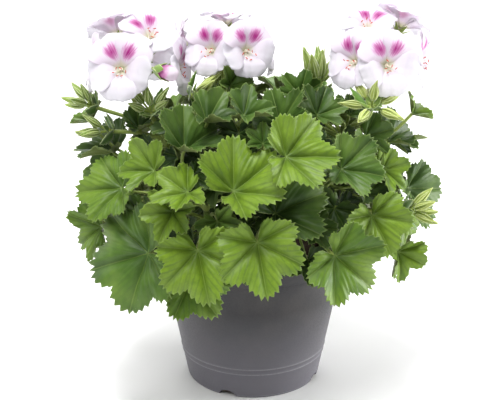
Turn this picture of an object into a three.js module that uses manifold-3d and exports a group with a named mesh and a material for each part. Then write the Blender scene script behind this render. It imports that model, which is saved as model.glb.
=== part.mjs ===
// A regal pelargonium in flower, growing in a plastic nursery pot.
// Millimetres, +Z up. The origin is the middle of the pot's underside, and the plant's front is -Y.
import * as THREE from "three";
import { mergeVertices } from "three/addons/utils/BufferGeometryUtils.js";
import Module from "manifold-3d";

const wasm = await Module();
wasm.setup();

// The pot: a 13 cm nursery pot, thin walled, with a collar and four water notches in its foot.
const POT_HEIGHT = 100;
const RIM_RADIUS = 65;
const BASE_RADIUS = 46;
const WALL_SLOPE = 0.195;
const WALL = 1.6;
const COLLAR_HEIGHT = 11;
const FOOT_CHAMFER = 1.2;
const POT_SIDES = 32;
const NOTCH_COUNT = 4;
const NOTCH_WIDTH = 12.5;
const NOTCH_HEIGHT = 4.5;
const NOTCH_AZIMUTH = -22.5;

// Every two neighbours that touch on the plant keep this much air.
const GAP = 0.3;

// The compost, and the holes that the stems stand in.
const SOIL_TOP = 88;
const SOIL_CRUMB = 1.6;
const HOLE_CLEARANCE = 0.9;
const ROOTED_DEPTH = 33;

// The green parts.
const STEM_RADIUS = 3.2;
const FLOWER_STALK_RADIUS = 1.7;
const LEAF_STALK_RADIUS = 1.45;
const PEDICEL_RADIUS = 0.9;
const JOINT_RADIUS = 3.2;
const LONG_STALK = 36;
const LEAF_THICKNESS = 0.9;
const LEAF_LOBES = 5;
const LOBE_ANGLE = 54;
const LOBE_DEPTH = 0.17;
const TOOTH_DEPTH = 0.05;
const SINUS_ANGLE = 152;

// The blooms.
const PETAL_THICKNESS = 0.8;
const PETAL_LENGTH = 21;
const THROAT_DEPTH = 8;
const CALYX_LENGTH = 7;

const DEG = Math.PI / 180;
const UP = new THREE.Vector3(0, 0, 1);

// A repeatable stream of numbers from 0 to 1.
function randomStream(seed) {
  let state = seed;
  return () => {
    state = (state * 1664525 + 1013904223) % 4294967296;
    return state / 4294967296;
  };
}

function vector(x, y, z) {
  return new THREE.Vector3(x, y, z);
}

// A closed geometry as a solid, turned right side out.
function solidOf(geometry) {
  const bare = geometry.clone();
  bare.deleteAttribute("normal");
  bare.deleteAttribute("uv");
  const merged = mergeVertices(bare, 1e-4);
  const corners = merged.index.array;
  const kept = [];
  for (let i = 0; i < corners.length; i += 3) {
    const [a, b, c] = corners.slice(i, i + 3);
    if (a !== b && b !== c && c !== a) kept.push(a, b, c);
  }
  const build = (triVerts) =>
    new wasm.Manifold(
      new wasm.Mesh({
        numProp: 3,
        vertProperties: merged.attributes.position.array,
        triVerts: new Uint32Array(triVerts),
      }),
    );
  const solid = build(kept);
  return solid.volume() > 0 ? solid : build(kept.reverse());
}

function geometryOf(solid) {
  const mesh = solid.getMesh();
  const positions = new Float32Array(mesh.numVert * 3);
  for (let i = 0; i < mesh.numVert; i++) {
    const start = i * mesh.numProp;
    positions.set(mesh.vertProperties.subarray(start, start + 3), i * 3);
  }
  const geometry = new THREE.BufferGeometry();
  geometry.setAttribute("position", new THREE.BufferAttribute(positions, 3));
  geometry.setIndex(new THREE.BufferAttribute(mesh.triVerts, 1));
  geometry.computeVertexNormals();
  return geometry;
}

function polygon(radius, sides) {
  const shape = new THREE.Shape();
  for (let k = 0; k < sides; k++) {
    const angle = (k / sides) * 2 * Math.PI;
    const corner = [radius * Math.cos(angle), radius * Math.sin(angle)];
    if (k === 0) shape.moveTo(...corner);
    else shape.lineTo(...corner);
  }
  shape.closePath();
  return shape;
}

// A stalk of one thickness along a curve.
function stalk(curve, radius, sides, steps) {
  const section = polygon(radius, sides);
  const options = { extrudePath: curve, steps, bevelEnabled: false };
  return solidOf(new THREE.ExtrudeGeometry(section, options));
}

// A turned form standing along Z.
function turned(profile, sides) {
  const points = profile.map(([radius, height]) => new THREE.Vector2(radius, height));
  return new THREE.LatheGeometry(points, sides).rotateX(Math.PI / 2);
}

// The way something faces: azimuth 0 is the front (-Y), 90 is +X, and lean is its rise above level.
// down is the way water would run off it, and right is to the right of someone looking at it.
function facing(azimuth, lean) {
  const a = azimuth * DEG;
  const l = lean * DEG;
  const normal = vector(Math.sin(a) * Math.cos(l), -Math.cos(a) * Math.cos(l), Math.sin(l));
  const down = vector(Math.sin(a) * Math.sin(l), -Math.cos(a) * Math.sin(l), -Math.cos(l));
  return { normal, down, right: normal.clone().cross(down) };
}

// A thin sheet as a solid: surface points and triangles, and the points round its edge in order.
function thickened(points, triangles, edge, thickness) {
  const normals = points.map(() => vector(0, 0, 0));
  for (const [a, b, c] of triangles) {
    const side = points[b].clone().sub(points[a]);
    const flat = side.cross(points[c].clone().sub(points[a]));
    for (const corner of [a, b, c]) normals[corner].add(flat);
  }
  normals.forEach((normal) => normal.normalize());
  const count = points.length;
  const positions = [];
  for (const half of [thickness / 2, -thickness / 2]) {
    points.forEach((point, i) => {
      positions.push(...point.clone().addScaledVector(normals[i], half).toArray());
    });
  }
  const corners = [];
  for (const [a, b, c] of triangles) corners.push(a, b, c, a + count, c + count, b + count);
  edge.forEach((a, i) => {
    const b = edge[(i + 1) % edge.length];
    corners.push(a, a + count, b + count, a, b + count, b);
  });
  const geometry = new THREE.BufferGeometry();
  geometry.setAttribute("position", new THREE.Float32BufferAttribute(positions, 3));
  geometry.setIndex(corners);
  return solidOf(geometry);
}

// The triangles between two rows of points that run the same way, each row evenly spaced.
function strip(inner, outer) {
  const triangles = [];
  let i = 0;
  let j = 0;
  while (i < inner.length - 1 || j < outer.length - 1) {
    const nextInner = (i + 1) / (inner.length - 1);
    const nextOuter = (j + 1) / (outer.length - 1);
    if (nextOuter <= nextInner) {
      triangles.push([inner[i], outer[j], outer[j + 1]]);
      j += 1;
    } else {
      triangles.push([inner[i], outer[j], inner[i + 1]]);
      i += 1;
    }
  }
  return triangles;
}

// How far the blade of a leaf reaches at an angle from its tip, as a share of its full reach.
function leafOutline(angle) {
  const backward = Math.pow(Math.abs(angle) / SINUS_ANGLE, 1.6);
  const lobe = Math.abs(Math.cos((angle / LOBE_ANGLE) * Math.PI));
  return (1 - 0.5 * backward) * (1 - LOBE_DEPTH * (1 - lobe));
}

// How far the blade stands off its own plane at a share of its reach, at an angle from its tip.
function leafLift(share, angle, leaf) {
  const forward = share * Math.max(0, Math.cos(angle * DEG));
  const pleat = Math.cos((angle / LOBE_ANGLE) * 2 * Math.PI);
  return (
    leaf.cup * share * share +
    leaf.fold * share * Math.abs(Math.sin(angle * DEG)) +
    0.045 * share * share * pleat +
    0.06 * Math.pow(share, 3) * Math.sin(3 * angle * DEG + leaf.phase) -
    0.16 * forward * forward
  );
}

// The blade of one leaf. room widens it on every side, for testing how it clears its neighbours.
function leafBlade(leaf, room) {
  const { normal, down, right } = facing(leaf.faces, leaf.lean);
  const turn = leaf.turn * DEG;
  const tip = down.clone().multiplyScalar(Math.cos(turn)).addScaledVector(right, Math.sin(turn));
  const across = normal.clone().cross(tip);
  const pointAt = (share, angle, scale) => {
    const reach = (leaf.reach + room) * leafOutline(angle) * share * scale;
    return leaf.junction
      .clone()
      .addScaledVector(tip, reach * Math.cos(angle * DEG))
      .addScaledVector(across, reach * Math.sin(angle * DEG))
      .addScaledVector(normal, leaf.reach * leafLift(share, angle, leaf));
  };
  const points = [leaf.junction.clone()];
  const ring = [];
  const ringSteps = leaf.teeth + 2;
  for (let k = 0; k <= ringSteps; k++) {
    ring.push(points.length);
    points.push(pointAt(0.5, SINUS_ANGLE * ((2 * k) / ringSteps - 1), 1));
  }
  const margin = [points.length];
  points.push(pointAt(1, -SINUS_ANGLE, 1));
  for (let k = 0; k <= LEAF_LOBES * leaf.teeth; k++) {
    const angle = (k / leaf.teeth - LEAF_LOBES / 2) * LOBE_ANGLE;
    margin.push(points.length);
    points.push(pointAt(1, angle, k % 2 ? 1 + TOOTH_DEPTH : 1 - TOOTH_DEPTH));
  }
  margin.push(points.length);
  points.push(pointAt(1, SINUS_ANGLE, 1));
  const triangles = strip(ring, margin);
  for (let k = 0; k < ringSteps; k++) triangles.push([0, ring[k], ring[k + 1]]);
  const edge = [0, ring[0], ...margin, ring[ringSteps]];
  return thickened(points, triangles, edge, LEAF_THICKNESS + 2 * room);
}

// The solids placed so far, each with the node that it belongs to.
const placed = [];

function boxesMeet(a, b) {
  return [0, 1, 2].every((k) => a.min[k] <= b.max[k] && b.min[k] <= a.max[k]);
}

// True if a solid crosses none of the placed ones, apart from the stalks of its own node.
function clears(solid, node) {
  const box = solid.boundingBox();
  return placed.every(
    (other) =>
      (other.node === node && !other.blade) ||
      !boxesMeet(box, other.box) ||
      solid.intersect(other.solid).isEmpty(),
  );
}

function place(node, solid, blade = false) {
  placed.push({ node, solid, blade, box: solid.boundingBox() });
}

// The leafy stems: where each stands in the compost, and where its tip is.
const STEMS = {
  stem_left: { foot: [-13, -6], tip: [-56, -14, 168] },
  stem_middle: { foot: [0, 4], tip: [-10, 6, 190] },
  stem_right: { foot: [13, -4], tip: [60, -6, 172] },
  stem_front_left: { foot: [-8, -19], tip: [-30, -52, 140] },
  stem_front_right: { foot: [9, -19], tip: [32, -52, 140] },
  stem_back_left: { foot: [-11, 17], tip: [-42, 44, 158] },
  stem_back_right: { foot: [12, 17], tip: [42, 42, 158] },
};

function stemCurve({ foot, tip }) {
  const bottom = vector(foot[0], foot[1], SOIL_TOP - ROOTED_DEPTH);
  const surface = vector(foot[0], foot[1], SOIL_TOP + 6);
  const end = vector(...tip);
  const rise = end.z - surface.z;
  const path = new THREE.CurvePath();
  path.add(new THREE.LineCurve3(bottom, surface));
  path.add(
    new THREE.CubicBezierCurve3(
      surface,
      surface.clone().addScaledVector(UP, 0.3 * rise),
      end.clone().addScaledVector(UP, -0.4 * rise),
      end,
    ),
  );
  return path;
}

for (const [name, stem] of Object.entries(STEMS)) {
  stem.curve = stemCurve(stem);
  place(name, stalk(stem.curve, STEM_RADIUS, 6, 6));
}

// The point on a stem that a stalk to a place would grow from: near it, but lower.
// rank 0 is the best place of all, 1 the next best on any stem, and so on.
function growingPoints(target) {
  const found = [];
  for (const [node, stem] of Object.entries(STEMS)) {
    for (let share = 0.5; share <= 1; share += 0.1) {
      const point = stem.curve.getPointAt(Math.min(share, 0.985));
      const level = Math.hypot(target.x - point.x, target.y - point.y);
      const short = Math.max(0, point.z + 0.3 * level - target.z);
      found.push({ node, point, cost: point.distanceTo(target) + 1.6 * short });
    }
  }
  return found.sort((a, b) => a.cost - b.cost);
}

// The flower heads: the node and point that each grows from, and the middle that its blooms face
// away from. Then each bloom: where its throat is, the way it faces, its turn and its size.
const HEADS = {
  left: {
    node: "stem_left",
    middle: [-80, -3, 205],
    blooms: [
      [-85, -33, 228, -8, 22, 0, 1],
      [-66, -8, 247, 25, 62, 12, 0.92],
      [-50, -13, 223, 75, 8, -20, 0.86],
      [-106, -6, 224, -80, 10, 15, 0.9],
      [-92, 18, 244, 200, 55, 0, 0.92],
      [-72, 27, 222, 165, 5, 0, 0.92],
    ],
  },
  centre: {
    node: "stem_middle",
    middle: [-17, 6, 213],
    blooms: [
      [-30, -20, 238, -28, 25, 0, 0.84],
      [-3, -22, 237, 24, 20, -5, 0.84],
      [-18, 6, 255, 180, 80, 0, 0.8],
      [10, 8, 230, 85, 12, 0, 0.8],
      [-16, 32, 230, 180, 12, 0, 0.84],
      [-44, 10, 232, -95, 12, 0, 0.8],
    ],
  },
  right: {
    node: "stem_right",
    middle: [84, -2, 206],
    blooms: [
      [86, -36, 231, 10, 20, 0, 0.96],
      [60, -24, 231, -45, 20, -5, 0.92],
      [74, -2, 252, -25, 72, 0, 0.86],
      [112, -12, 228, 72, 5, 10, 0.9],
      [100, 14, 248, 130, 52, 0, 0.9],
      [82, 28, 224, 185, 0, 0, 0.92],
    ],
  },
};

// The petals of a bloom, two broad upper ones and three lower: angle from the top, width and length.
const PETALS = [
  [-35, 1.12, 1.04],
  [35, 1.12, 1.04],
  [106, 1, 0.94],
  [180, 1.02, 0.96],
  [-106, 1, 0.94],
];

// The rows of points across a petal, from its root in the throat to its broad ruffled end. One edge
// of each row stands higher than the other, so every petal laps over the next without touching it.
const PETAL_ROWS = [
  { along: 0.1, half: 0.045, height: 1 - THROAT_DEPTH, tilt: 0.2, ruffle: 0, bulge: 0 },
  { along: 0.6, half: 0.54, height: 0, tilt: 1.2, ruffle: 0.6, bulge: 0 },
  { along: 0.9, half: 0.38, height: -1.4, tilt: 1.1, ruffle: 2.4, bulge: 0.12 },
];

// A whole bloom in one sheet: the floor of the throat, with the petals growing from its rim.
function bloomSolid({ throat, way, size }, room, seed) {
  const random = randomStream(seed);
  const { normal, down, right } = way;
  const pointAt = (out, radial, sideways, height) =>
    throat
      .clone()
      .addScaledVector(out, radial)
      .addScaledVector(normal.clone().cross(out), sideways)
      .addScaledVector(normal, height);
  const points = [throat.clone().addScaledVector(normal, -THROAT_DEPTH)];
  const triangles = [];
  const edge = [];
  for (const [angle, width, length] of [...PETALS].reverse()) {
    const out = down
      .clone()
      .multiplyScalar(-Math.cos(angle * DEG))
      .addScaledVector(right, Math.sin(angle * DEG));
    const reach = PETAL_LENGTH * size * length + room;
    const rows = PETAL_ROWS.map((row, r) => {
      const sides = r === 0 ? [-1, 1] : [-1, 0, 1];
      return sides.map((side) => {
        const radial = reach * (row.along + (side === 0 ? row.bulge : 0));
        const half = row.half * width * PETAL_LENGTH * size;
        const height = row.height + row.tilt * side + row.ruffle * (random() - 0.5);
        points.push(pointAt(out, radial, side * half, height));
        return points.length - 1;
      });
    });
    const [root, middle, end] = rows;
    triangles.push([0, root[0], root[1]], ...strip(root, middle), ...strip(middle, end));
    edge.push(root[0], middle[0], ...end, middle[2], root[1]);
  }
  const roots = edge.filter((_, i) => i % 7 === 0 || i % 7 === 6);
  for (let k = 1; k < roots.length; k += 2) {
    triangles.push([0, roots[k], roots[(k + 1) % roots.length]]);
  }
  return thickened(points, triangles, edge, PETAL_THICKNESS + 2 * room);
}

// Turns a form that stands along Z to stand along a direction, from a given point.
function placedAlong(geometry, point, direction) {
  const turn = new THREE.Quaternion().setFromUnitVectors(UP, direction);
  return geometry.applyQuaternion(turn).translate(point.x, point.y, point.z);
}

function arching(start, end, leave, arrive) {
  const span = start.distanceTo(end);
  return new THREE.CubicBezierCurve3(
    start,
    start.clone().addScaledVector(leave, 0.35 * span),
    end.clone().addScaledVector(arrive, -0.35 * span),
    end,
  );
}

// The swollen joint where the small stalks of a flower head part.
function joint(point, direction, radius) {
  const profile = [
    [0, -1.6 * radius],
    [radius, 0],
    [0, radius],
  ];
  return solidOf(placedAlong(turned(profile, 6), point, direction));
}

const bloomNames = [];
let bloomSeed = 11;
for (const [headName, head] of Object.entries(HEADS)) {
  const middle = vector(...head.middle);
  const start = STEMS[head.node].curve.getPointAt(0.97);
  place(head.node, stalk(arching(start, middle, UP, UP), FLOWER_STALK_RADIUS, 4, 3));
  place(head.node, joint(middle, UP, JOINT_RADIUS));
  head.blooms.forEach(([x, y, z, azimuth, lean, turn, size], i) => {
    const name = `bloom_${headName}_${i + 1}`;
    bloomSeed += 7;
    const seed = bloomSeed;
    let chosen = null;
    for (let attempt = 0; attempt < 60 && !chosen; attempt++) {
      const push = [0, 2, 4, -2, 6][attempt % 5];
      const smaller = 1 - 0.04 * Math.floor(attempt / 5);
      const plain = facing(azimuth, lean);
      const spin = (angle) => angle * DEG;
      const down = plain.down
        .clone()
        .multiplyScalar(Math.cos(spin(turn)))
        .addScaledVector(plain.right, Math.sin(spin(turn)));
      const way = { normal: plain.normal, down, right: plain.normal.clone().cross(down) };
      const throat = vector(x, y, z).addScaledVector(plain.normal, push);
      const trial = { throat, way, size: size * smaller };
      if (clears(bloomSolid(trial, GAP, seed), name)) chosen = trial;
    }
    if (!chosen) throw new Error(name + " finds no room");
    place(name, bloomSolid(chosen, 0, seed));
    const { throat, way } = chosen;
    bloomNames.push(name);
    const seat = throat
      .clone()
      .addScaledVector(way.normal, -THROAT_DEPTH - PETAL_THICKNESS / 2 - GAP);
    const base = seat.clone().addScaledVector(way.normal, -CALYX_LENGTH);
    const calyx = turned(
      [
        [0, -2],
        [2.3, 3],
        [1.9, CALYX_LENGTH],
        [0, CALYX_LENGTH],
      ],
      4,
    );
    place(head.node, solidOf(placedAlong(calyx, base, way.normal)));
    const outward = base.clone().sub(middle).normalize();
    const root = middle.clone().addScaledVector(outward, 0.6 * JOINT_RADIUS);
    place(head.node, stalk(arching(root, base, outward, way.normal), PEDICEL_RADIUS, 3, 2));
  });
}

// The clusters of buds: where the stalks of a cluster part, the way it points, how wide the buds
// spread in degrees, how many there are, and the length of a bud and of its own stalk.
const BUD_CLUSTERS = [
  [-106, -8, 196, -80, 25, 48, 5, 9, 13],
  [-95, -16, 181, -85, 5, 40, 5, 9, 14],
  [-66, -24, 196, -10, 70, 55, 6, 9, 14],
  [-38, -26, 208, 75, 15, 40, 5, 14, 8],
  [-20, -6, 206, 0, 80, 30, 4, 10, 14],
  [43, 2, 204, 20, 82, 26, 5, 12, 18],
  [75, -42, 205, 0, 70, 100, 7, 11, 13],
  [101, -40, 134, 85, 5, 42, 5, 12, 10],
];

// A bud on its own little stalk, in one turned form.
function bud(point, direction, reach, length) {
  const profile = [
    [0, -0.2],
    [PEDICEL_RADIUS, 0],
    [PEDICEL_RADIUS, reach],
    [0.18 * length, reach + 0.36 * length],
    [0, reach + length],
  ];
  return solidOf(placedAlong(turned(profile, 4), point, direction));
}

// The short moves that a cluster may make to clear its neighbours.
const CLUSTER_MOVES = [];
for (const drop of [0, 4, 8, 12]) {
  for (const [sideways, forward] of [[0, 0], [4, 0], [-4, 0], [0, 4], [0, -4], [8, 0], [-8, 0]]) {
    CLUSTER_MOVES.push(vector(sideways, -forward, -drop));
  }
}

function budCluster({ fork, azimuth, lean, spread, count, length, reach, seed }, point) {
  const random = randomStream(seed);
  const { normal, down, right } = facing(azimuth, lean);
  const parts = [
    stalk(arching(point, fork, UP, normal), FLOWER_STALK_RADIUS, 4, 3),
    joint(fork, normal, 0.8 * JOINT_RADIUS),
  ];
  for (let k = 0; k < count; k++) {
    const round = (k / count) * 2 * Math.PI + random() * 0.5;
    const open = spread * DEG * (k === 0 ? 0.15 : 0.7 + 0.3 * random());
    const direction = normal
      .clone()
      .multiplyScalar(Math.cos(open))
      .addScaledVector(down, Math.sin(open) * Math.cos(round))
      .addScaledVector(right, Math.sin(open) * Math.sin(round));
    const root = fork.clone().addScaledVector(direction, 0.6 * JOINT_RADIUS);
    parts.push(bud(root, direction, reach * (0.7 + 0.3 * random()), length));
  }
  return wasm.Manifold.union(parts);
}

BUD_CLUSTERS.forEach(([x, y, z, azimuth, lean, spread, count, length, reach], i) => {
  const shape = { azimuth, lean, spread, count, length, reach, seed: 101 + i };
  for (const move of CLUSTER_MOVES) {
    const fork = vector(x, y, z).add(move);
    const { node, point } = growingPoints(fork)[0];
    const cluster = budCluster({ ...shape, fork }, point);
    if (!clears(cluster, node)) continue;
    place(node, cluster);
    return;
  }
  throw new Error(`bud cluster ${i + 1} finds no room`);
});

// The leaves seen from the front, in the order that they were fitted: where the stalk meets the
// blade, the way the blade faces and how far it leans back, where its tip turns from straight
// down, its reach from stalk to tip, and how much it is cupped and folded.
const FRONT_LEAVES = [
  [-34, -99, 130, 0, 20, 12, 34, 0.08, 0.05],
  [3, -103, 137, 5, 22, 8, 34, 0.04, 0.05],
  [52, -94, 124, 15, 15, 45, 33, 0.05, 0.05],
  [-69, -82, 121, -28, 18, -66, 44, 0, -0.12],
  [-40, -87, 106, -12, 12, 36, 29, 0.05, 0.1],
  [-40, -88, 165, 0, 62, -70, 24, 0.1, 0],
  [-86, -52, 156, -30, 42, -72, 31, 0.05, 0.05],
  [-63, -66, 172, -20, 45, -80, 24, 0.1, 0.1],
  [76, -74, 144, 25, 22, 20, 28, 0.05, 0.1],
  [-12, -88, 167, -2, 45, 128, 35, 0.15, 0.1],
  [14, -84, 150, 5, 45, 112, 35, 0.1, 0.1],
  [37, -84, 141, 28, 30, 75, 19, 0.1, 0.1],
  [20, -80, 183, 8, 42, 85, 32, 0.1, 0.1],
  [56, -68, 174, 15, 45, 70, 27, 0.25, 0.1],
  [-43, -60, 185, 10, 58, 122, 27, 0.1, 0.5],
  [96, -55, 111, 35, 8, 0, 21, 0.05, 0.25],
  [108, -8, 140, 56, 28, 15, 32, 0, 0.1],
  [104, -42, 126, 60, 5, 5, 21, 0, 0.2],
  [-103, -30, 119, -40, 15, -45, 25, 0.1, 0.2],
  [-94, -8, 168, -45, 72, -60, 27, 0.1, 0.2],
  [-29, -48, 194, 5, 72, 98, 24, 0.1, 0.4],
  [-50, -86, 152, -12, 40, -15, 22, 0.1, 0.1],
  [17, -44, 196, -10, 42, -160, 25, 0.1, 0.3],
  [-6, -52, 199, 8, 62, 108, 21, 0.1, 0.4],
  [31, -12, 205, 10, 35, -145, 18, 0.1, 0.3],
  [42, -30, 197, 20, 35, 150, 24, 0.1, 0.4],
  [91, -14, 176, 40, 64, 100, 23, 0.1, 0.4],
  [89, -28, 166, 40, 35, 85, 18, 0.1, 0.2],
  [85, -44, 165, 40, 35, 30, 20, 0.1, 0.1],
  [-110, 0, 185, -60, 40, -120, 16, 0.1, 0.2],
  [-37, -70, 172, 5, 70, 40, 24, 0.1, 0.1],
  [6, -70, 190, 0, 30, 180, 14, 0.1, 0.2],
  [54, -70, 150, 15, 35, -40, 22, 0.1, 0.1],
  [-23, -90, 146, -8, 35, 30, 24, 0.1, 0.1],
  [-78, -60, 143, -25, 30, 0, 28, 0.1, 0.1],
  [74, -28, 183, 30, 50, 30, 20, 0.1, 0.1],
  [-52, -70, 168, -5, 45, 30, 17, 0.1, 0.1],
  [-96, -8, 150, -75, 30, 0, 32, 0.1, 0.1],
  [97, 4, 112, 90, 20, 0, 27, 0.1, 0.1],
  [62, -18, 191, 20, 30, 165, 17, 0.1, 0.2],
  [93, 2, 172, 45, 35, 100, 22, 0.1, 0.2],
  [-76, -16, 184, -30, 50, 150, 19, 0.1, 0.5],
  [-14, -24, 214, 20, 25, 150, 15, 0.1, 0.5],
  [102, -14, 190, 45, 45, 110, 15, 0.1, 0.4],
].map(([x, y, z, faces, lean, turn, reach, cup, fold]) => ({
  junction: vector(x, y, z),
  faces,
  lean,
  turn,
  reach,
  cup,
  fold,
}));

// The leaves of the sides and the back: rows round the mound, each higher row nearer its middle.
const BACK_ROWS = [
  { height: 116, radius: 96, lean: 18, reach: 35, count: 5, first: 118, last: 256 },
  { height: 150, radius: 88, lean: 36, reach: 36, count: 4, first: 98, last: 226 },
  { height: 178, radius: 68, lean: 54, reach: 34, count: 4, first: 115, last: 245 },
  { height: 198, radius: 36, lean: 70, reach: 30, count: 2, first: 150, last: 220 },
];

function backLeaves() {
  const random = randomStream(5);
  const leaves = [];
  for (const row of BACK_ROWS) {
    for (let k = 0; k < row.count; k++) {
      const wander = () => random() - 0.5;
      const azimuth = row.first + ((row.last - row.first) * k) / (row.count - 1) + 8 * wander();
      const radius = row.radius + 5 * wander();
      leaves.push({
        junction: vector(
          radius * Math.sin(azimuth * DEG),
          -radius * Math.cos(azimuth * DEG),
          row.height + 10 * wander(),
        ),
        faces: azimuth + 24 * wander(),
        lean: row.lean + 14 * wander(),
        turn: 60 * wander(),
        reach: row.reach + 6 * wander(),
        cup: 0.1,
        fold: 0.05 + 0.1 * random(),
      });
    }
  }
  return leaves;
}

const LEAVES = [...FRONT_LEAVES, ...backLeaves()];

// The small moves that a leaf may make to clear its neighbours, the smallest first: a push along
// the way it faces, in millimetres, a swing or a nod in degrees, and a smaller size.
const TILTS = [[0, 0]];
for (const tilt of [8, 16]) TILTS.push([tilt, 0], [-tilt, 0], [0, tilt], [0, -tilt]);
const NUDGES = [];
for (const scale of [1, 0.9, 0.8, 0.7]) {
  for (const push of [0, 3, -3, 6, -6, 9, -9, 12]) {
    for (const [swing, nod] of TILTS) {
      const cost = Math.abs(push) / 3 + Math.abs(swing + nod) / 8 + 15 * (1 - scale);
      NUDGES.push({ scale, push, swing, nod, cost });
    }
  }
}
NUDGES.sort((a, b) => a.cost - b.cost);

function nudged(leaf, { scale, push, swing, nod }) {
  const faces = leaf.faces + swing;
  const lean = leaf.lean + nod;
  const { normal } = facing(faces, lean);
  const junction = leaf.junction.clone().addScaledVector(normal, push);
  return { ...leaf, junction, faces, lean, reach: leaf.reach * scale };
}

// The curve of a leaf's stalk: up and out from the stem, and into the blade from behind.
function leafStalkCurve(leaf, point) {
  const { normal, down, right } = facing(leaf.faces, leaf.lean);
  const turn = leaf.turn * DEG;
  const tip = down.clone().multiplyScalar(Math.cos(turn)).addScaledVector(right, Math.sin(turn));
  const arrive = normal.clone().multiplyScalar(0.8).addScaledVector(tip, 0.4).normalize();
  const level = vector(leaf.junction.x - point.x, leaf.junction.y - point.y, 0).normalize();
  const leave = level.multiplyScalar(0.5).addScaledVector(UP, 0.85).normalize();
  const seat = leaf.junction
    .clone()
    .addScaledVector(tip, 2.6)
    .addScaledVector(normal.cross(tip), 1.6);
  return arching(point, seat, leave, arrive);
}

// The first small move that lets a leaf and its stalk clear everything placed so far.
function roomFor(leaf) {
  for (const move of NUDGES) {
    const trial = nudged(leaf, move);
    if (!clears(leafBlade(trial, GAP), null)) continue;
    for (const { node, point } of growingPoints(trial.junction).slice(0, 16)) {
      const curve = leafStalkCurve(trial, point);
      const steps = point.distanceTo(trial.junction) > LONG_STALK ? 3 : 2;
      if (!clears(stalk(curve, LEAF_STALK_RADIUS + GAP, 3, steps), node)) continue;
      return { trial, node, curve, steps };
    }
  }
  return null;
}

LEAVES.forEach((leaf, index) => {
  leaf.phase = index * 2.4;
  leaf.teeth = leaf.reach > 36 ? 6 : leaf.reach > 28 ? 4 : 2;
  const room = roomFor(leaf);
  if (!room) throw new Error(`leaf ${index + 1} finds no room`);
  place(room.node, leafBlade(room.trial, 0), true);
  place(room.node, stalk(room.curve, LEAF_STALK_RADIUS, 3, room.steps));
});

// The pot, with its water notches.
function pot() {
  const wallAt = (height) => BASE_RADIUS + WALL_SLOPE * height;
  const collarFoot = POT_HEIGHT - COLLAR_HEIGHT;
  const profile = [
    [0, 0],
    [BASE_RADIUS - FOOT_CHAMFER, 0],
    [wallAt(FOOT_CHAMFER), FOOT_CHAMFER],
    [wallAt(collarFoot), collarFoot],
    [RIM_RADIUS - 0.6, collarFoot + 1],
    [RIM_RADIUS, POT_HEIGHT - 1],
    [RIM_RADIUS - 0.8, POT_HEIGHT],
    [RIM_RADIUS - WALL, POT_HEIGHT],
    [wallAt(collarFoot) - WALL, collarFoot - 1],
    [wallAt(WALL) - WALL, WALL],
    [0, WALL],
  ];
  const body = solidOf(turned(profile, POT_SIDES));
  const notches = [];
  for (let k = 0; k < NOTCH_COUNT; k++) {
    const arch = new THREE.Shape();
    const half = NOTCH_WIDTH / 2;
    arch.moveTo(-half, -1);
    arch.lineTo(half, -1);
    arch.lineTo(half, 0);
    arch.bezierCurveTo(half, NOTCH_HEIGHT * 1.33, -half, NOTCH_HEIGHT * 1.33, -half, 0);
    arch.closePath();
    const options = { depth: 14, bevelEnabled: false, curveSegments: 6 };
    const cutter = new THREE.ExtrudeGeometry(arch, options)
      .rotateX(Math.PI / 2)
      .translate(0, -BASE_RADIUS + 7, 0)
      .rotateZ((NOTCH_AZIMUTH + (k * 360) / NOTCH_COUNT) * DEG);
    notches.push(solidOf(cutter));
  }
  return body.subtract(wasm.Manifold.union(notches));
}

// The compost: it fills the pot to below the rim, has a crumbly top, and a hole for each stem.
function soil() {
  const wallAt = (height) => BASE_RADIUS + WALL_SLOPE * height - WALL - 2 * GAP;
  const profile = [
    [0, WALL + GAP],
    [wallAt(WALL), WALL + GAP],
    [wallAt(SOIL_TOP - 3), SOIL_TOP - 3],
    [wallAt(SOIL_TOP - 3) * 0.8, SOIL_TOP],
    [wallAt(SOIL_TOP - 3) * 0.55, SOIL_TOP],
    [wallAt(SOIL_TOP - 3) * 0.28, SOIL_TOP],
    [0, SOIL_TOP],
  ];
  const geometry = mergeVertices(
    turned(profile, POT_SIDES / 2).deleteAttribute("normal").deleteAttribute("uv"),
    1e-3,
  );
  const random = randomStream(3);
  const position = geometry.attributes.position;
  for (let i = 0; i < position.count; i++) {
    const drop = random() * SOIL_CRUMB;
    if (position.getZ(i) > SOIL_TOP - 1) position.setZ(i, position.getZ(i) - drop);
  }
  const holes = Object.values(STEMS).map(({ foot }) => {
    const options = { depth: ROOTED_DEPTH + 10, bevelEnabled: false };
    const section = polygon(STEM_RADIUS + HOLE_CLEARANCE, 8);
    const hole = new THREE.ExtrudeGeometry(section, options);
    return solidOf(hole.translate(foot[0], foot[1], SOIL_TOP - ROOTED_DEPTH - GAP));
  });
  return solidOf(geometry).subtract(wasm.Manifold.union(holes));
}

const finish = (color, roughness) =>
  new THREE.MeshStandardMaterial({ color, roughness, metalness: 0 });
const FINISHES = {
  pot: finish(0x55545a, 0.55),
  soil: finish(0x3a2a20, 0.95),
  green: finish(0x5f9a3c, 0.5),
  petal: finish(0xf8ecf5, 0.6),
};

const plant = new THREE.Group();

function addNode(name, solid, material) {
  const mesh = new THREE.Mesh(geometryOf(solid), material);
  mesh.name = name;
  plant.add(mesh);
}

addNode("pot", pot(), FINISHES.pot);
addNode("soil", soil(), FINISHES.soil);
for (const name of Object.keys(STEMS)) {
  const parts = placed.filter((piece) => piece.node === name).map((piece) => piece.solid);
  addNode(name, wasm.Manifold.union(parts), FINISHES.green);
}
for (const name of bloomNames) {
  const own = placed.find((piece) => piece.node === name);
  addNode(name, own.solid, FINISHES.petal);
}

export default plant;
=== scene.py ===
import math

import bpy
import numpy as np
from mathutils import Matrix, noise
from mathutils.kdtree import KDTree


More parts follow.
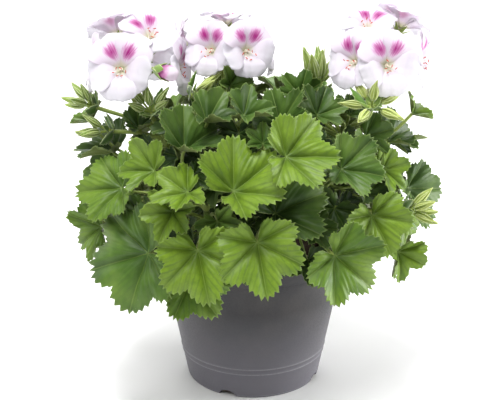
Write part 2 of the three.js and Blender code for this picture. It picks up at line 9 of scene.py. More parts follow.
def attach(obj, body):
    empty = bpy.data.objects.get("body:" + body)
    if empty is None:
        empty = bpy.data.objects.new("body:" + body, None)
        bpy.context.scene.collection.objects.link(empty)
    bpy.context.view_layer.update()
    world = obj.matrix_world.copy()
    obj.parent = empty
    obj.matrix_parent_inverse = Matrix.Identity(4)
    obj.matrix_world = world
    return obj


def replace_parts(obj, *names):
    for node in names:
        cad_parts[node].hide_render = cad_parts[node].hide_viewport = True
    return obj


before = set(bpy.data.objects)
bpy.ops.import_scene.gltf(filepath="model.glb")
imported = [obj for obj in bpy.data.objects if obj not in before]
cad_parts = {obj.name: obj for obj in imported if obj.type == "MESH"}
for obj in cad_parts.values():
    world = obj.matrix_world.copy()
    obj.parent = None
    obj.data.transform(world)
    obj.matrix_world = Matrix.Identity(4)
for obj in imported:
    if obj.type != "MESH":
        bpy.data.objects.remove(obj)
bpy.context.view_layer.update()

# The camera. The plant was photographed from the front and a little above its blooms, with a
# long lens from under a metre away.
camera_data = bpy.data.cameras.new("camera")
camera_data.lens = 95.3
camera_data.sensor_width = 36
camera_data.shift_x = -0.0062
camera = bpy.data.objects.new("camera", camera_data)
camera.location = (0, -0.85, 0.434)
camera.rotation_euler = (math.radians(90 - 19.85), 0, 0)
bpy.context.scene.collection.objects.link(camera)
bpy.context.scene.camera = camera

# The studio: a floor of seamless white paper, a white room, and large soft lamps high on the left,
# low on the right and behind, so that the leaves keep soft shading and the heart of the plant is
# dark. Paper scatters light evenly, so the eye gets a plain ground with a soft shadow and no shine.
def linear(colour):
    """An sRGB hex colour, such as "#8CAF32", as the linear values that Blender works with."""
    values = [int(colour[i : i + 2], 16) / 255 for i in (1, 3, 5)]
    return [v / 12.92 if v <= 0.04045 else ((v + 0.055) / 1.055) ** 2.4 for v in values] + [1]


def add(tree, kind, links=None, **settings):
    """Adds a node: settings are its own options, and links gives each input a socket or a value."""
    made = tree.nodes.new("ShaderNode" + kind)
    for option, value in settings.items():
        setattr(made, option, value)
    for name, value in (links or {}).items():
        if isinstance(value, bpy.types.NodeSocket):
            tree.links.new(value, made.inputs[name])
        else:
            made.inputs[name].default_value = value
    return next((socket for socket in made.outputs if socket.enabled), made)


def new_material(name):
    """A material with an empty node tree and its output, for the section's own nodes."""
    material = bpy.data.materials.new(name)
    material.use_nodes = True
    material.node_tree.nodes.clear()
    output = material.node_tree.nodes.new("ShaderNodeOutputMaterial")
    return material, material.node_tree, output


bpy.context.scene.view_settings.view_transform = "Standard"
paper, tree, output = new_material("white_seamless_paper")
surface = add(tree, "BsdfPrincipled", {"Base Color": linear("#F6F6F6"), "Roughness": 0.9})
tree.links.new(surface, output.inputs["Surface"])
bpy.ops.mesh.primitive_plane_add(size=12)
floor = bpy.context.object
floor.name = "studio_floor"
floor.data.materials.append(paper)

room = bpy.data.worlds.new("white_room")
room.use_nodes = True
room.node_tree.nodes["Background"].inputs["Color"].default_value = (1, 1, 1, 1)
room.node_tree.nodes["Background"].inputs["Strength"].default_value = 0.34
bpy.context.scene.world = room
for name, place, power, size in [
    ("lamp_front", (-0.5, -1.0, 1.3), 9, 0.6),
    ("lamp_top", (-0.15, -0.25, 1.6), 27, 0.55),
    ("lamp_right", (1.1, 0.1, 0.25), 16, 0.6),
    ("lamp_left", (-1.1, 0.35, 0.4), 3, 0.6),
    ("lamp_far", (0, 1.7, 1.5), 34, 1.6),
]:
    lamp_data = bpy.data.lights.new(name, "AREA")
    lamp_data.energy = power
    lamp_data.size = size
    lamp = bpy.data.objects.new(name, lamp_data)
    lamp.location = place
    aim = np.array([0, 0, 0.14]) - np.array(place)
    pitch = math.atan2(math.hypot(aim[0], aim[1]), -aim[2])
    lamp.rotation_euler = (pitch, 0, math.atan2(-aim[0], aim[1]))
    bpy.context.scene.collection.objects.link(lamp)

# The pot: a nursery pot moulded in dark grey polypropylene, thin walled, with a collar at the
# rim, two fine ring lines low on its side and four arched water notches in its foot.
MM = 0.001
RIM_RADIUS = 65
BASE_RADIUS = 46
WALL_SLOPE = 0.195
WALL = 1.6
POT_SIDES = 144
RING_HEIGHTS = [23.4, 19.3]
FOOT_EDGE = 1.4
NOTCH_COUNT = 4
NOTCH_WIDTH = 12.5
NOTCH_HEIGHT = 4.5
NOTCH_AZIMUTH = -22.5


def piece(name, shapes, materials):
    """One object made of shapes, each with points in millimetres, faces, a material and values."""
    mesh = bpy.data.meshes.new(name)
    points, faces, finishes, start = [], [], [], 0
    for shape in shapes:
        points.append(np.asarray(shape["points"], float))
        faces += [[start + corner for corner in face] for face in shape["faces"]]
        finishes += [shape.get("finish", 0)] * len(shape["faces"])
        start += len(shape["points"])
    mesh.from_pydata(np.concatenate(points) * MM, [], faces)
    mesh.polygons.foreach_set("use_smooth", [True] * len(faces))
    mesh.polygons.foreach_set("material_index", finishes)
    for label in sorted({key for shape in shapes for key in shape.get("values", {})}):
        filled = [
            np.broadcast_to(shape.get("values", {}).get(label, 0), (len(shape["points"]), 3))
            for shape in shapes
        ]
        attribute = mesh.attributes.new(label, "FLOAT_VECTOR", "POINT")
        attribute.data.foreach_set("vector", np.concatenate(filled).astype(np.float32).ravel())
    for material in materials:
        mesh.materials.append(material)
    made = bpy.data.objects.new(name, mesh)
    bpy.context.scene.collection.objects.link(made)
    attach(made, "root")
    return made


def lathe(profile, sides):
    """A form turned about the pot's axis from (radius, height) points. It closes on the axis."""
    turn = np.arange(sides) * 2 * math.pi / sides
    rows = [r for r in profile if r[0] > 0]
    points = [(0, 0, profile[0][1])]
    for radius, height in rows:
        points += [(radius * math.cos(a), radius * math.sin(a), height) for a in turn]
    points.append((0, 0, profile[-1][1]))
    faces = []
    for k in range(sides):
        after = (k + 1) % sides
        faces.append((0, 1 + after, 1 + k))
        for r in range(len(rows) - 1):
            low, high = 1 + r * sides, 1 + (r + 1) * sides
            faces.append((low + k, low + after, high + after, high + k))
        last = 1 + (len(rows) - 1) * sides
        faces.append((last + k, last + after, len(points) - 1))
    return {"points": points, "faces": faces}


def wall_at(height):
    """The radius of the pot's outer wall at a height."""
    return BASE_RADIUS + WALL_SLOPE * height


side = [(wall_at(h), h) for h in (2.0, 6, 12, 17, 18.6)]
for ring in sorted(RING_HEIGHTS):
    side += [
        (wall_at(ring - 0.6), ring - 0.6),
        (wall_at(ring) + 0.3, ring - 0.2),
        (wall_at(ring) + 0.3, ring + 0.2),
        (wall_at(ring + 0.6), ring + 0.6),
    ]
side += [(wall_at(h), h) for h in (26, 34, 45, 58, 72, 84, 88.6)]
pot_profile = (
    [(0, 0), (20, 0), (BASE_RADIUS - 1.6, 0), (BASE_RADIUS - 0.5, 0.3), (wall_at(1) - 0.1, 1.2)]
    + side
    + [(RIM_RADIUS - 1.0, 89.4), (RIM_RADIUS - 0.5, 90.2), (RIM_RADIUS - 0.3, 92)]
    + [(RIM_RADIUS, 98.6), (RIM_RADIUS - 0.2, 99.6), (RIM_RADIUS - 0.7, 100)]
    + [(RIM_RADIUS - 1.2, 99.8), (RIM_RADIUS - WALL, 99), (RIM_RADIUS - WALL - 0.4, 91)]
    + [(wall_at(89) - WALL, 88), (wall_at(40) - WALL, 40), (wall_at(3) - WALL, 3)]
    + [(BASE_RADIUS - 3, WALL), (0, WALL)]
)
# Polypropylene as it leaves a fine-grained mould: matt with a dull shine. Its lower part is painted
# paler, as painted light from the floor, so its upper part stays dark as if in the leaves' shade;
# dust clouds it in patches, and its ring lines and foot are paler, partly worn and partly a painted
# highlight on their raised edges.
# The grain of the mould is under 0.1 mm, so it is drawn coarser, as coarse as it needs to show.
GRAIN = 1.1
CLOUD = 26
# How high the painted floor light reaches up the pot.
PAINTED_LIGHT_TOP = 68
plastic, tree, output = new_material("moulded_polypropylene_dark_grey")
place = add(tree, "TexCoord").node.outputs["Object"]
cloud = add(tree, "TexNoise", {"Vector": place, "Scale": 1 / (CLOUD * MM), "Detail": 5})
grain = add(tree, "TexNoise", {"Vector": place, "Scale": 1 / (GRAIN * MM), "Detail": 3})
dusty = add(
    tree,
    "MapRange",
    {"Value": cloud, "From Min": 0.38, "From Max": 0.66, "To Min": 0, "To Max": 0.7},
)
bare = add(
    tree,
    "Mix",
    {"Factor": dusty, "A": linear("#18171A"), "B": linear("#312D2C")},
    data_type="RGBA",
)
height = add(tree, "SeparateXYZ", {"Vector": place}).node.outputs["Z"]
# Painted light and shade: paler toward the foot, where the floor throws light up, and darker above,
# where the leaves shade the pot.
painted_floor_light = add(
    tree,
    "MapRange",
    {"Value": height, "From Min": 0, "From Max": PAINTED_LIGHT_TOP * MM, "To Min": 0.85, "To Max": 0},
)
bare = add(
    tree, "Mix", {"Factor": painted_floor_light, "A": bare, "B": linear("#727078")}, data_type="RGBA"
)
# The ring lines and the foot edge are painted paler: partly worn plastic, partly a painted
# highlight on their raised edges.
wear_and_highlight = None
for line_height in [*RING_HEIGHTS, FOOT_EDGE]:
    away = add(tree, "Math", {0: height, 1: line_height * MM}, operation="SUBTRACT")
    away = add(tree, "Math", {0: away}, operation="ABSOLUTE")
    line = add(
        tree,
        "MapRange",
        {"Value": away, "From Min": 0.1 * MM, "From Max": 0.7 * MM, "To Min": 0.5, "To Max": 0},
    )
    wear_and_highlight = add(tree, "Math", {0: line, 1: wear_and_highlight}, operation="MAXIMUM") if wear_and_highlight else line
patchy = add(tree, "Math", {0: wear_and_highlight, 1: grain}, operation="MULTIPLY")
colour = add(
    tree,
    "Mix",
    {"Factor": patchy, "A": bare, "B": linear("#A9A8AD")},
    data_type="RGBA",
)
rough = add(
    tree,
    "MapRange",
    {"Value": grain, "From Min": 0.3, "From Max": 0.7, "To Min": 0.44, "To Max": 0.6},
)
relief = add(tree, "Bump", {"Height": grain, "Strength": 0.12, "Distance": 0.3 * MM})
surface = add(
    tree,
    "BsdfPrincipled",
    {"Base Color": colour, "Roughness": rough, "Normal": relief, "IOR": 1.49},
)
tree.links.new(surface, output.inputs["Surface"])

pot = piece("nursery_pot", [lathe(pot_profile, POT_SIDES)], [plastic])
for k in range(NOTCH_COUNT):
    half = NOTCH_WIDTH / 2
    arch = [(-half, -2), (half, -2)] + [
        (half * math.cos(t), NOTCH_HEIGHT * math.sin(t)) for t in np.linspace(0, math.pi, 15)
    ]
    azimuth = math.radians(NOTCH_AZIMUTH + k * 360 / NOTCH_COUNT)
    out = np.array([math.sin(azimuth), -math.cos(azimuth), 0])
    across = np.array([math.cos(azimuth), math.sin(azimuth), 0])
    points = [
        across * x + out * depth + np.array([0, 0, z])
        for depth in (BASE_RADIUS - 7, BASE_RADIUS + 7)
        for x, z in arch
    ]
    count = len(arch)
    faces = [(i, (i + 1) % count, count + (i + 1) % count, count + i) for i in range(count)]
    faces += [tuple(range(count))[::-1], tuple(range(count, 2 * count))]
    mesh = bpy.data.meshes.new("notch")
    mesh.from_pydata([p * MM for p in points], [], faces)
    cutter = bpy.data.objects.new("notch", mesh)
    bpy.context.scene.collection.objects.link(cutter)
    cut = pot.modifiers.new("notch", "BOOLEAN")
    cut.object = cutter
    cut.operation = "DIFFERENCE"
    cut.solver = "EXACT"
    bpy.context.view_layer.update()
    whole = pot.evaluated_get(bpy.context.evaluated_depsgraph_get())
    carved = bpy.data.meshes.new_from_object(whole)
    pot.modifiers.clear()
    pot.data = carved
    bpy.data.objects.remove(cutter)
pot.data.shade_smooth()
pot.data.set_sharp_from_angle(angle=math.radians(38))
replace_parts(pot, "pot")

# The compost: moist peat, pressed in by hand to below the rim, with a crumbly top of clods and
# fibres and a few grains of white perlite.
SOIL_TOP = 88
soil_floor = WALL + 0.3


def rough_noise(x, y, z, scale):
    """Smooth hills and hollows from -1 to 1, as far apart as scale."""
    return noise.noise((x / scale, y / scale, z / scale))


def crumb(centre, size, squash, seed):
    """A small lump with six corners, each pushed in or out."""
    points = []
    shape = (1, 1, squash)
    for direction in [(1, 0, 0), (-1, 0, 0), (0, 1, 0), (0, -1, 0), (0, 0, 1), (0, 0, -1)]:
        x, y, z = direction
        push = 1 + 0.5 * noise.noise((seed * 3.1, x * 2 + y, z * 3))
        points.append([c + size * push * d * s for c, d, s in zip(centre, direction, shape)])
    faces = [(0, 2, 4), (2, 1, 4), (1, 3, 4), (3, 0, 4), (2, 0, 5), (1, 2, 5), (3, 1, 5), (0, 3, 5)]
    return {"points": points, "faces": faces}


soil_rim = wall_at(SOIL_TOP - 3) - WALL - 0.6
soil_rows = [(r, SOIL_TOP) for r in np.linspace(soil_rim, 1.5, 40)]
soil_profile = [(0, soil_floor), (wall_at(WALL) - WALL - 0.6, soil_floor), (soil_rim, SOIL_TOP - 4)]
soil_shape = lathe(soil_profile + soil_rows + [(0, SOIL_TOP)], 120)
shaped = []
for x, y, z in soil_shape["points"]:
    if z > SOIL_TOP - 2:
        z += 1.6 * rough_noise(x, y, 0, 9) + 1.1 * rough_noise(x, y, 4, 3.2) - 1.2
        z += 1.5 * math.hypot(x, y) / soil_rim - 2.2 * (math.hypot(x, y) / soil_rim) ** 4
    shaped.append((x, y, z))
soil_shape["points"] = shaped
CRUMBS = 520
CRUMB_SEED = 3
ONE_PERLITE_IN = 19
spread = np.random.default_rng(CRUMB_SEED)
crumbs = []
for k in range(CRUMBS):
    radius, turn = soil_rim * 0.96 * math.sqrt(spread.random()), 2 * math.pi * spread.random()
    x, y = radius * math.cos(turn), radius * math.sin(turn)
    size = 0.5 + 1.5 * spread.random() ** 2
    lump = crumb((x, y, SOIL_TOP - 1.2 + 0.3 * size), size, 0.7, k)
    lump["finish"] = 1 if k % ONE_PERLITE_IN == 0 else 0
    crumbs.append(lump)
# Peat, milled and wetted: near black where it is moist, brown where fibres stand up and dry, and
# quite without shine.
PEAT_FIBRE = 1.7
peat, tree, output = new_material("moist_peat_compost")
place = add(tree, "TexCoord").node.outputs["Object"]
fibre = add(
    tree,
    "TexNoise",
    {"Vector": place, "Scale": 1 / (PEAT_FIBRE * MM), "Detail": 6, "Roughness": 0.7},
)
colour = add(
    tree,
    "Mix",
    {"Factor": fibre, "A": linear("#17100B"), "B": linear("#4A3423")},
    data_type="RGBA",
)
relief = add(tree, "Bump", {"Height": fibre, "Strength": 0.6, "Distance": 1 * MM})
surface = add(tree, "BsdfPrincipled", {"Base Color": colour, "Roughness": 0.95, "Normal": relief})
tree.links.new(surface, output.inputs["Surface"])
# Perlite, a volcanic glass popped by heat: chalk white froth, stained brown where peat clings in
# its pores, so that it reads as dull crumbs.
PERLITE_PORE = 0.6
perlite, tree, output = new_material("expanded_perlite")
place = add(tree, "TexCoord").node.outputs["Object"]
pores = add(tree, "TexNoise", {"Vector": place, "Scale": 1 / (PERLITE_PORE * MM), "Detail": 3})
colour = add(
    tree,
    "Mix",
    {"Factor": pores, "A": linear("#9C8F80"), "B": linear("#F2EEE6")},
    data_type="RGBA",
)
relief = add(tree, "Bump", {"Height": pores, "Strength": 0.5, "Distance": 0.3 * MM})
surface = add(tree, "BsdfPrincipled", {"Base Color": colour, "Roughness": 0.9, "Normal": relief})
tree.links.new(surface, output.inputs["Surface"])
soil = piece("compost", [soil_shape, *crumbs], [peat, perlite])
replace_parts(soil, "soil")

# The stems: seven soft green shoots that stand in the compost, curve outward and end among the
# flowers. Each is round, a little swollen where a leaf leaves it, and finely hairy.
ROOTED_DEPTH = 33
# Each stem: where it stands in the compost, and where its tip is.
STEMS = {
    "stem_left": ((-13, -6), (-56, -14, 168)),
    "stem_middle": ((0, 4), (-10, 6, 190)),
    "stem_right": ((13, -4), (60, -6, 172)),
    "stem_front_left": ((-8, -19), (-30, -52, 140)),
    "stem_front_right": ((9, -19), (32, -52, 140)),
    "stem_back_left": ((-11, 17), (-42, 44, 158)),
    "stem_back_right": ((12, 17), (42, 42, 158)),
}
UP = np.array([0.0, 0.0, 1.0])


def bezier(start, leave, arrive, end, count=201):
    """Points along a curve from start to end that is drawn toward leave and then arrive."""
    t = np.linspace(0, 1, count)[:, None]
    left = 1 - t
    return left**3 * start + 3 * left**2 * t * leave + 3 * left * t**2 * arrive + t**3 * end


def arching(start, end, leave, arrive):
    """A curve from start to end that sets out along leave and comes in along arrive."""
    span = np.linalg.norm(end - start)
    return bezier(start, start + 0.35 * span * leave, end - 0.35 * span * arrive, end)


def spaced(curve, shares):
    """The points at shares of the length of a closely sampled curve."""
    steps = np.linalg.norm(np.diff(curve, axis=0), axis=1)
    along = np.concatenate([[0], np.cumsum(steps)])
    wanted = np.asarray(shares) * along[-1]
    return np.stack([np.interp(wanted, along, curve[:, k]) for k in range(3)], -1)


def unit(v):
    """A direction as long as 1."""
    return v / np.linalg.norm(v)


def tube(curve, radii, sides, steps, values, finish=0):
    """A round stalk along a curve, with a radius for each share of its length and rounded ends."""
    shares = np.linspace(0, 1, steps + 1)
    centres = spaced(curve, shares)
    sizes = np.interp(shares, np.linspace(0, 1, len(radii)), radii)
    ahead = np.gradient(centres, axis=0)
    side = unit(np.cross(ahead[0], UP if abs(unit(ahead[0])[2]) < 0.9 else np.array([1.0, 0, 0])))
    points = [centres[0] - 0.3 * sizes[0] * unit(ahead[0])]
    for centre, size, way in zip(centres, sizes, ahead):
        way = unit(way)
        side = unit(side - way * np.dot(side, way))
        other = np.cross(way, side)
        for k in range(sides):
            turn = 2 * math.pi * k / sides
            points.append(centre + size * (side * math.cos(turn) + other * math.sin(turn)))
    points.append(centres[-1] + 0.3 * sizes[-1] * unit(ahead[-1]))
    faces = []
    for k in range(sides):
        after = (k + 1) % sides
        faces.append((0, 1 + after, 1 + k))
        for r in range(steps):
            low, high = 1 + r * sides, 1 + (r + 1) * sides
            faces.append((low + k, low + after, high + after, high + k))
        last = 1 + steps * sides
        faces.append((last + k, last + after, len(points) - 1))
    return {"points": points, "faces": faces, "values": values, "finish": finish}


STEM_CURVES = {}
for name, (foot, tip) in STEMS.items():
    bottom = np.array([*foot, SOIL_TOP - ROOTED_DEPTH], float)
    surface_point = np.array([*foot, SOIL_TOP + 6], float)
    end = np.array(tip, float)
    rise = end[2] - surface_point[2]
    upper = bezier(surface_point, surface_point + 0.3 * rise * UP, end - 0.4 * rise * UP, end)
    STEM_CURVES[name] = np.concatenate([np.linspace(bottom, surface_point, 80)[:-1], upper])

# A living stem, deep green where it is old and lime where it is young. Its short white hairs give
# it a pale, velvety edge. They are finer than the render shows, so their relief is drawn coarser.
STEM_MOTTLE = 4
STEM_HAIR = 0.7
stem_green, tree, output = new_material("hairy_green_stem")
look = add(tree, "Attribute", attribute_name="look")
tone = add(tree, "SeparateXYZ", {"Vector": look})
place = add(tree, "TexCoord").node.outputs["Object"]
mottle = add(tree, "TexNoise", {"Vector": place, "Scale": 1 / (STEM_MOTTLE * MM), "Detail": 4})
hair = add(tree, "TexNoise", {"Vector": place, "Scale": 1 / (STEM_HAIR * MM), "Detail": 2})
aged = add(
    tree,
    "Mix",
    {"Factor": tone, "A": linear("#47632A"), "B": linear("#A9B654")},
    data_type="RGBA",
)
colour = add(tree, "Mix", {"Factor": mottle, "A": aged, "B": linear("#7D9148")}, data_type="RGBA")
relief = add(tree, "Bump", {"Height": hair, "Strength": 0.3, "Distance": 0.3 * MM})
surface = add(
    tree,
    "BsdfPrincipled",
    {
        "Base Color": colour,
        "Roughness": 0.6,
        "Normal": relief,
        "IOR": 1.4,
        "Sheen Weight": 0.25,
        "Sheen Roughness": 0.4,
        "Sheen Tint": linear("#F2F5E0"),
    },
)
tree.links.new(surface, output.inputs["Surface"])

stalk_shapes = {name: [] for name in STEMS}


def grow_stalk(name, curve, radii, sides, steps, youth):
    """Adds a stalk to a shoot. Its youth, from 0 to 1, is how light its green is."""
    stalk_shapes[name].append(tube(curve, radii, sides, steps, {"look": (youth, 0, 0)}))


SWOLLEN_STEM = [3.1, 3.2, 3.0, 3.1, 2.8, 3.0, 2.6, 2.9, 2.4, 2.6, 1.9]
for name, curve in STEM_CURVES.items():
    grow_stalk(name, curve, SWOLLEN_STEM, 14, 40, 0.25)

# The leaves: kidney shaped blades with five shallow lobes and a sharply toothed edge, each on its
# own stalk. Five veins fan out from the stalk, the blade is quilted between them, and short
# hairs make it satin rather than glossy.
LEAF_LOBES = 5
LOBE_ANGLE = 54
LOBE_DEPTH = 0.17
SINUS_ANGLE = 152
CAD_LEAF_THICKNESS = 0.9
CAD_STALK_RADIUS = 1.45
LONG_STALK = 36
FUNNEL = 0.14
# Each front leaf: where the stalk meets the blade, the way the blade faces and how far it leans
# back, where its tip turns from straight down, its reach from stalk to tip, how much it is cupped
# and folded, and how bright a green it is.
FRONT_LEAVES = [
    (-34, -99, 130, 0, 20, 12, 34, 0.08, 0.05, 0.98),
    (3, -103, 137, 5, 22, 8, 34, 0.04, 0.05, 0.9),
    (52, -94, 124, 15, 15, 45, 33, 0.05, 0.05, 0.72),
    (-69, -82, 121, -28, 18, -66, 44, 0, -0.12, 0.46),
    (-40, -87, 106, -12, 12, 36, 29, 0.05, 0.1, 0.7),
    (-40, -88, 165, 0, 62, -70, 24, 0.1, 0, 1),
    (-86, -52, 156, -30, 42, -72, 31, 0.05, 0.05, 0.75),
    (-63, -66, 172, -20, 45, -80, 24, 0.1, 0.1, 0.85),
    (76, -74, 144, 25, 22, 20, 28, 0.05, 0.1, 0.95),
    (-12, -88, 167, -2, 45, 128, 35, 0.15, 0.1, 0.95),
    (14, -84, 150, 5, 45, 112, 35, 0.1, 0.1, 0.3),
    (37, -84, 141, 28, 30, 75, 19, 0.1, 0.1, 0.3),
    (20, -80, 183, 8, 42, 85, 32, 0.1, 0.1, 0.95),
    (56, -68, 174, 15, 45, 70, 27, 0.25, 0.1, 0.4),
    (-43, -60, 185, 10, 58, 122, 27, 0.1, 0.5, 0.3),
    (96, -55, 111, 35, 8, 0, 21, 0.05, 0.25, 1),
    (108, -8, 140, 56, 28, 15, 32, 0, 0.1, 0.35),
    (104, -42, 126, 60, 5, 5, 21, 0, 0.2, 0.9),
    (-103, -30, 119, -40, 15, -45, 25, 0.1, 0.2, 0.75),
    (-94, -8, 168, -45, 72, -60, 27, 0.1, 0.2, 0.25),
    (-29, -48, 194, 5, 72, 98, 24, 0.1, 0.4, 0.25),
    (-50, -86, 152, -12, 40, -15, 22, 0.1, 0.1, 0.9),
    (17, -44, 196, -10, 42, -160, 25, 0.1, 0.3, 0.3),
    (-6, -52, 199, 8, 62, 108, 21, 0.1, 0.4, 0.35),
    (31, -12, 205, 10, 35, -145, 18, 0.1, 0.3, 0.4),
    (42, -30, 197, 20, 35, 150, 24, 0.1, 0.4, 0.25),
    (91, -14, 176, 40, 64, 100, 23, 0.1, 0.4, 0.3),
    (89, -28, 166, 40, 35, 85, 18, 0.1, 0.2, 0.95),
    (85, -44, 165, 40, 35, 30, 20, 0.1, 0.1, 0.95),
    (-110, 0, 185, -60, 40, -120, 16, 0.1, 0.2, 0.6),
    (-37, -70, 172, 5, 70, 40, 24, 0.1, 0.1, 0.3),
    (6, -70, 190, 0, 30, 180, 14, 0.1, 0.2, 0.4),
    (54, -70, 150, 15, 35, -40, 22, 0.1, 0.1, 0.3),
    (-23, -90, 146, -8, 35, 30, 24, 0.1, 0.1, 0.5),
    (-78, -60, 143, -25, 30, 0, 28, 0.1, 0.1, 0.5),
    (74, -28, 183, 30, 50, 30, 20, 0.1, 0.1, 0.4),
    (-52, -70, 168, -5, 45, 30, 17, 0.1, 0.1, 0.4),
    (-96, -8, 150, -75, 30, 0, 32, 0.1, 0.1, 0.5),
    (97, 4, 112, 90, 20, 0, 27, 0.1, 0.1, 0.5),
    (62, -18, 191, 20, 30, 165, 17, 0.1, 0.2, 0.4),
    (93, 2, 172, 45, 35, 100, 22, 0.1, 0.2, 0.4),
    (-76, -16, 184, -30, 50, 150, 19, 0.1, 0.5, 0.3),
    (-14, -24, 214, 20, 25, 150, 15, 0.1, 0.5, 0.45),
    (102, -14, 190, 45, 45, 110, 15, 0.1, 0.4, 0.95),
]
# The leaves of the sides and the back: rows round the mound, each higher row nearer its middle.
# Each row: its height, its distance from the middle, how far its leaves lean back, their reach,
# how many they are, and the directions of the first and the last.
BACK_ROWS = [
    (116, 96, 18, 35, 5, 118, 256),
    (150, 88, 36, 36, 4, 98, 226),
    (178, 68, 54, 34, 4, 115, 245),
    (198, 36, 70, 30, 2, 150, 220),
]


def stream(seed):
    """The same repeatable numbers from 0 to 1 that shaped the model."""
    state = seed
    while True:
        state = (state * 1664525 + 1013904223) % 4294967296
        yield state / 4294967296


def facing(azimuth, lean):
    """The way a thing faces, the way water runs off it, and the right of someone looking at it."""
    a, tilt = math.radians(azimuth), math.radians(lean)
    level = np.array([math.sin(a), -math.cos(a), 0])
    normal = level * math.cos(tilt) + UP * math.sin(tilt)
    down = level * math.sin(tilt) - UP * math.cos(tilt)
    return normal, down, np.cross(normal, down)


LEAVES = []
for x, y, z, faces, lean, turn, reach, cup, fold, tone in FRONT_LEAVES:
    LEAVES.append(dict(junction=np.array([x, y, z], float), faces=faces, lean=lean, turn=turn,
                       reach=reach, cup=cup, fold=fold, tone=tone))
BACK_SEED = 5
wander = stream(BACK_SEED)
for height, radius, lean, reach, count, first, last in BACK_ROWS:
    for k in range(count):
        azimuth = first + (last - first) * k / (count - 1) + 8 * (next(wander) - 0.5)
        r = radius + 5 * (next(wander) - 0.5)
        a = math.radians(azimuth)
        junction = np.array([r * math.sin(a), -r * math.cos(a), height + 10 * (next(wander) - 0.5)])
        LEAVES.append(dict(
            junction=junction,
            faces=azimuth + 24 * (next(wander) - 0.5),
            lean=lean + 14 * (next(wander) - 0.5),
            turn=60 * (next(wander) - 0.5),
            reach=reach + 6 * (next(wander) - 0.5),
            cup=0.1,
            fold=0.05 + 0.1 * next(wander),
            tone=0.35 + 0.11 * (k % 5),
        ))

# The moves that a leaf made in the model to clear its neighbours. The one that it made shows in
# the model's own corner points, so each leaf here takes the place of its solid.
TURNS = [(0, 0), (8, 0), (-8, 0), (0, 8), (0, -8), (16, 0), (-16, 0), (0, 16), (0, -16)]
MOVES = []
for scale in (1, 0.9, 0.8, 0.7):
    for push in (0, 3, -3, 6, -6, 9, -9, 12):
        for swing, nod in TURNS:
            cost = abs(push) / 3 + abs(swing + nod) / 8 + 15 * (1 - scale)
            MOVES.append((cost, scale, push, swing, nod))
MOVES.sort(key=lambda move: move[0])
corner_points = []
for name in STEMS:
    corners = np.empty(len(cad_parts[name].data.vertices) * 3)
    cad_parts[name].data.vertices.foreach_get("co", corners)
    corner_points += list(corners.reshape(-1, 3) / MM)
corner_tree = KDTree(len(corner_points))
for i, point in enumerate(corner_points):
    corner_tree.insert(point, i)
corner_tree.balance()


def nearness(points, distance, slack):
    """The share of points that have a corner of the model at the given distance."""
    found = [corner_tree.find(point) for point in points]
    return sum(abs(hit[2] - distance) < slack for hit in found) / len(found)


def outline(angle):
    """How far a blade reaches at angles from its tip, in degrees, as a share of its full reach."""
    backward = (np.abs(angle) / SINUS_ANGLE) ** 1.6
    lobe = np.abs(np.cos(angle / LOBE_ANGLE * math.pi))
    return (1 - 0.5 * backward) * (1 - LOBE_DEPTH * (1 - lobe))


def lift(share, angle, leaf):
    """How far a blade stands off its own plane, in reaches: cupped, folded, pleated and waved."""
    a = np.radians(angle)
    forward = share * np.maximum(0, np.cos(a))
    pleat = np.cos(angle / LOBE_ANGLE * 2 * math.pi)
    return (
        leaf["cup"] * share**2
        + leaf["fold"] * share * np.abs(np.sin(a))
        + 0.045 * share**2 * pleat
        + 0.06 * share**3 * np.sin(3 * a + leaf["phase"])
        - 0.16 * forward**2
    )


def leaf_frame(leaf):
    """The way a blade faces, the way its tip points, and the way across it."""
    normal, down, right = facing(leaf["faces"], leaf["lean"])
    turn = math.radians(leaf["turn"])
    tip = down * math.cos(turn) + right * math.sin(turn)
    return normal, tip, np.cross(normal, tip)


def blade_points(leaf, share, angle, scale, extra=0.0):
    """Points of a blade at shares of its reach and angles from its tip, in space and laid flat."""
    normal, tip, across = leaf_frame(leaf)
    reach = leaf["reach"] * outline(angle) * share * scale
    flat = np.stack([reach * np.cos(np.radians(angle)), reach * np.sin(np.radians(angle))], -1)
    height = leaf["reach"] * lift(share, angle, leaf) + extra
    points = flat[..., :1] * tip + flat[..., 1:] * across + height[..., None] * normal
    return leaf["junction"] + points, flat


def leaf_stalk(leaf, point, forward=2.6, sideways=1.6, under=0.0):
    """The stalk of a leaf. In the model it meets the blade a little in front of the junction."""
    normal, tip, across = leaf_frame(leaf)
    arrive = unit(0.8 * normal + 0.4 * tip)
    level = unit(np.array([*(leaf["junction"] - point)[:2], 0]))
    leave = unit(0.5 * level + 0.85 * UP)
    seat = leaf["junction"] + forward * tip + sideways * across - under * normal
    return arching(point, seat, leave, arrive)


GROWING = [
    (name, spaced(curve, [min(share, 0.985)])[0])
    for name, curve in STEM_CURVES.items()
    for share in (0.5, 0.6, 0.7, 0.8, 0.9, 1.0)
]


def growing_points(target):
    """The stems and the points on them that a stalk could grow from, the most natural first."""
    ranked = []
    for name, point in GROWING:
        level = math.hypot(*(target - point)[:2])
        steep = 1.6 * max(0, point[2] + 0.3 * level - target[2])
        ranked.append((np.linalg.norm(point - target) + steep, name, point))
    return [row[1:] for row in sorted(ranked, key=lambda row: row[0])]


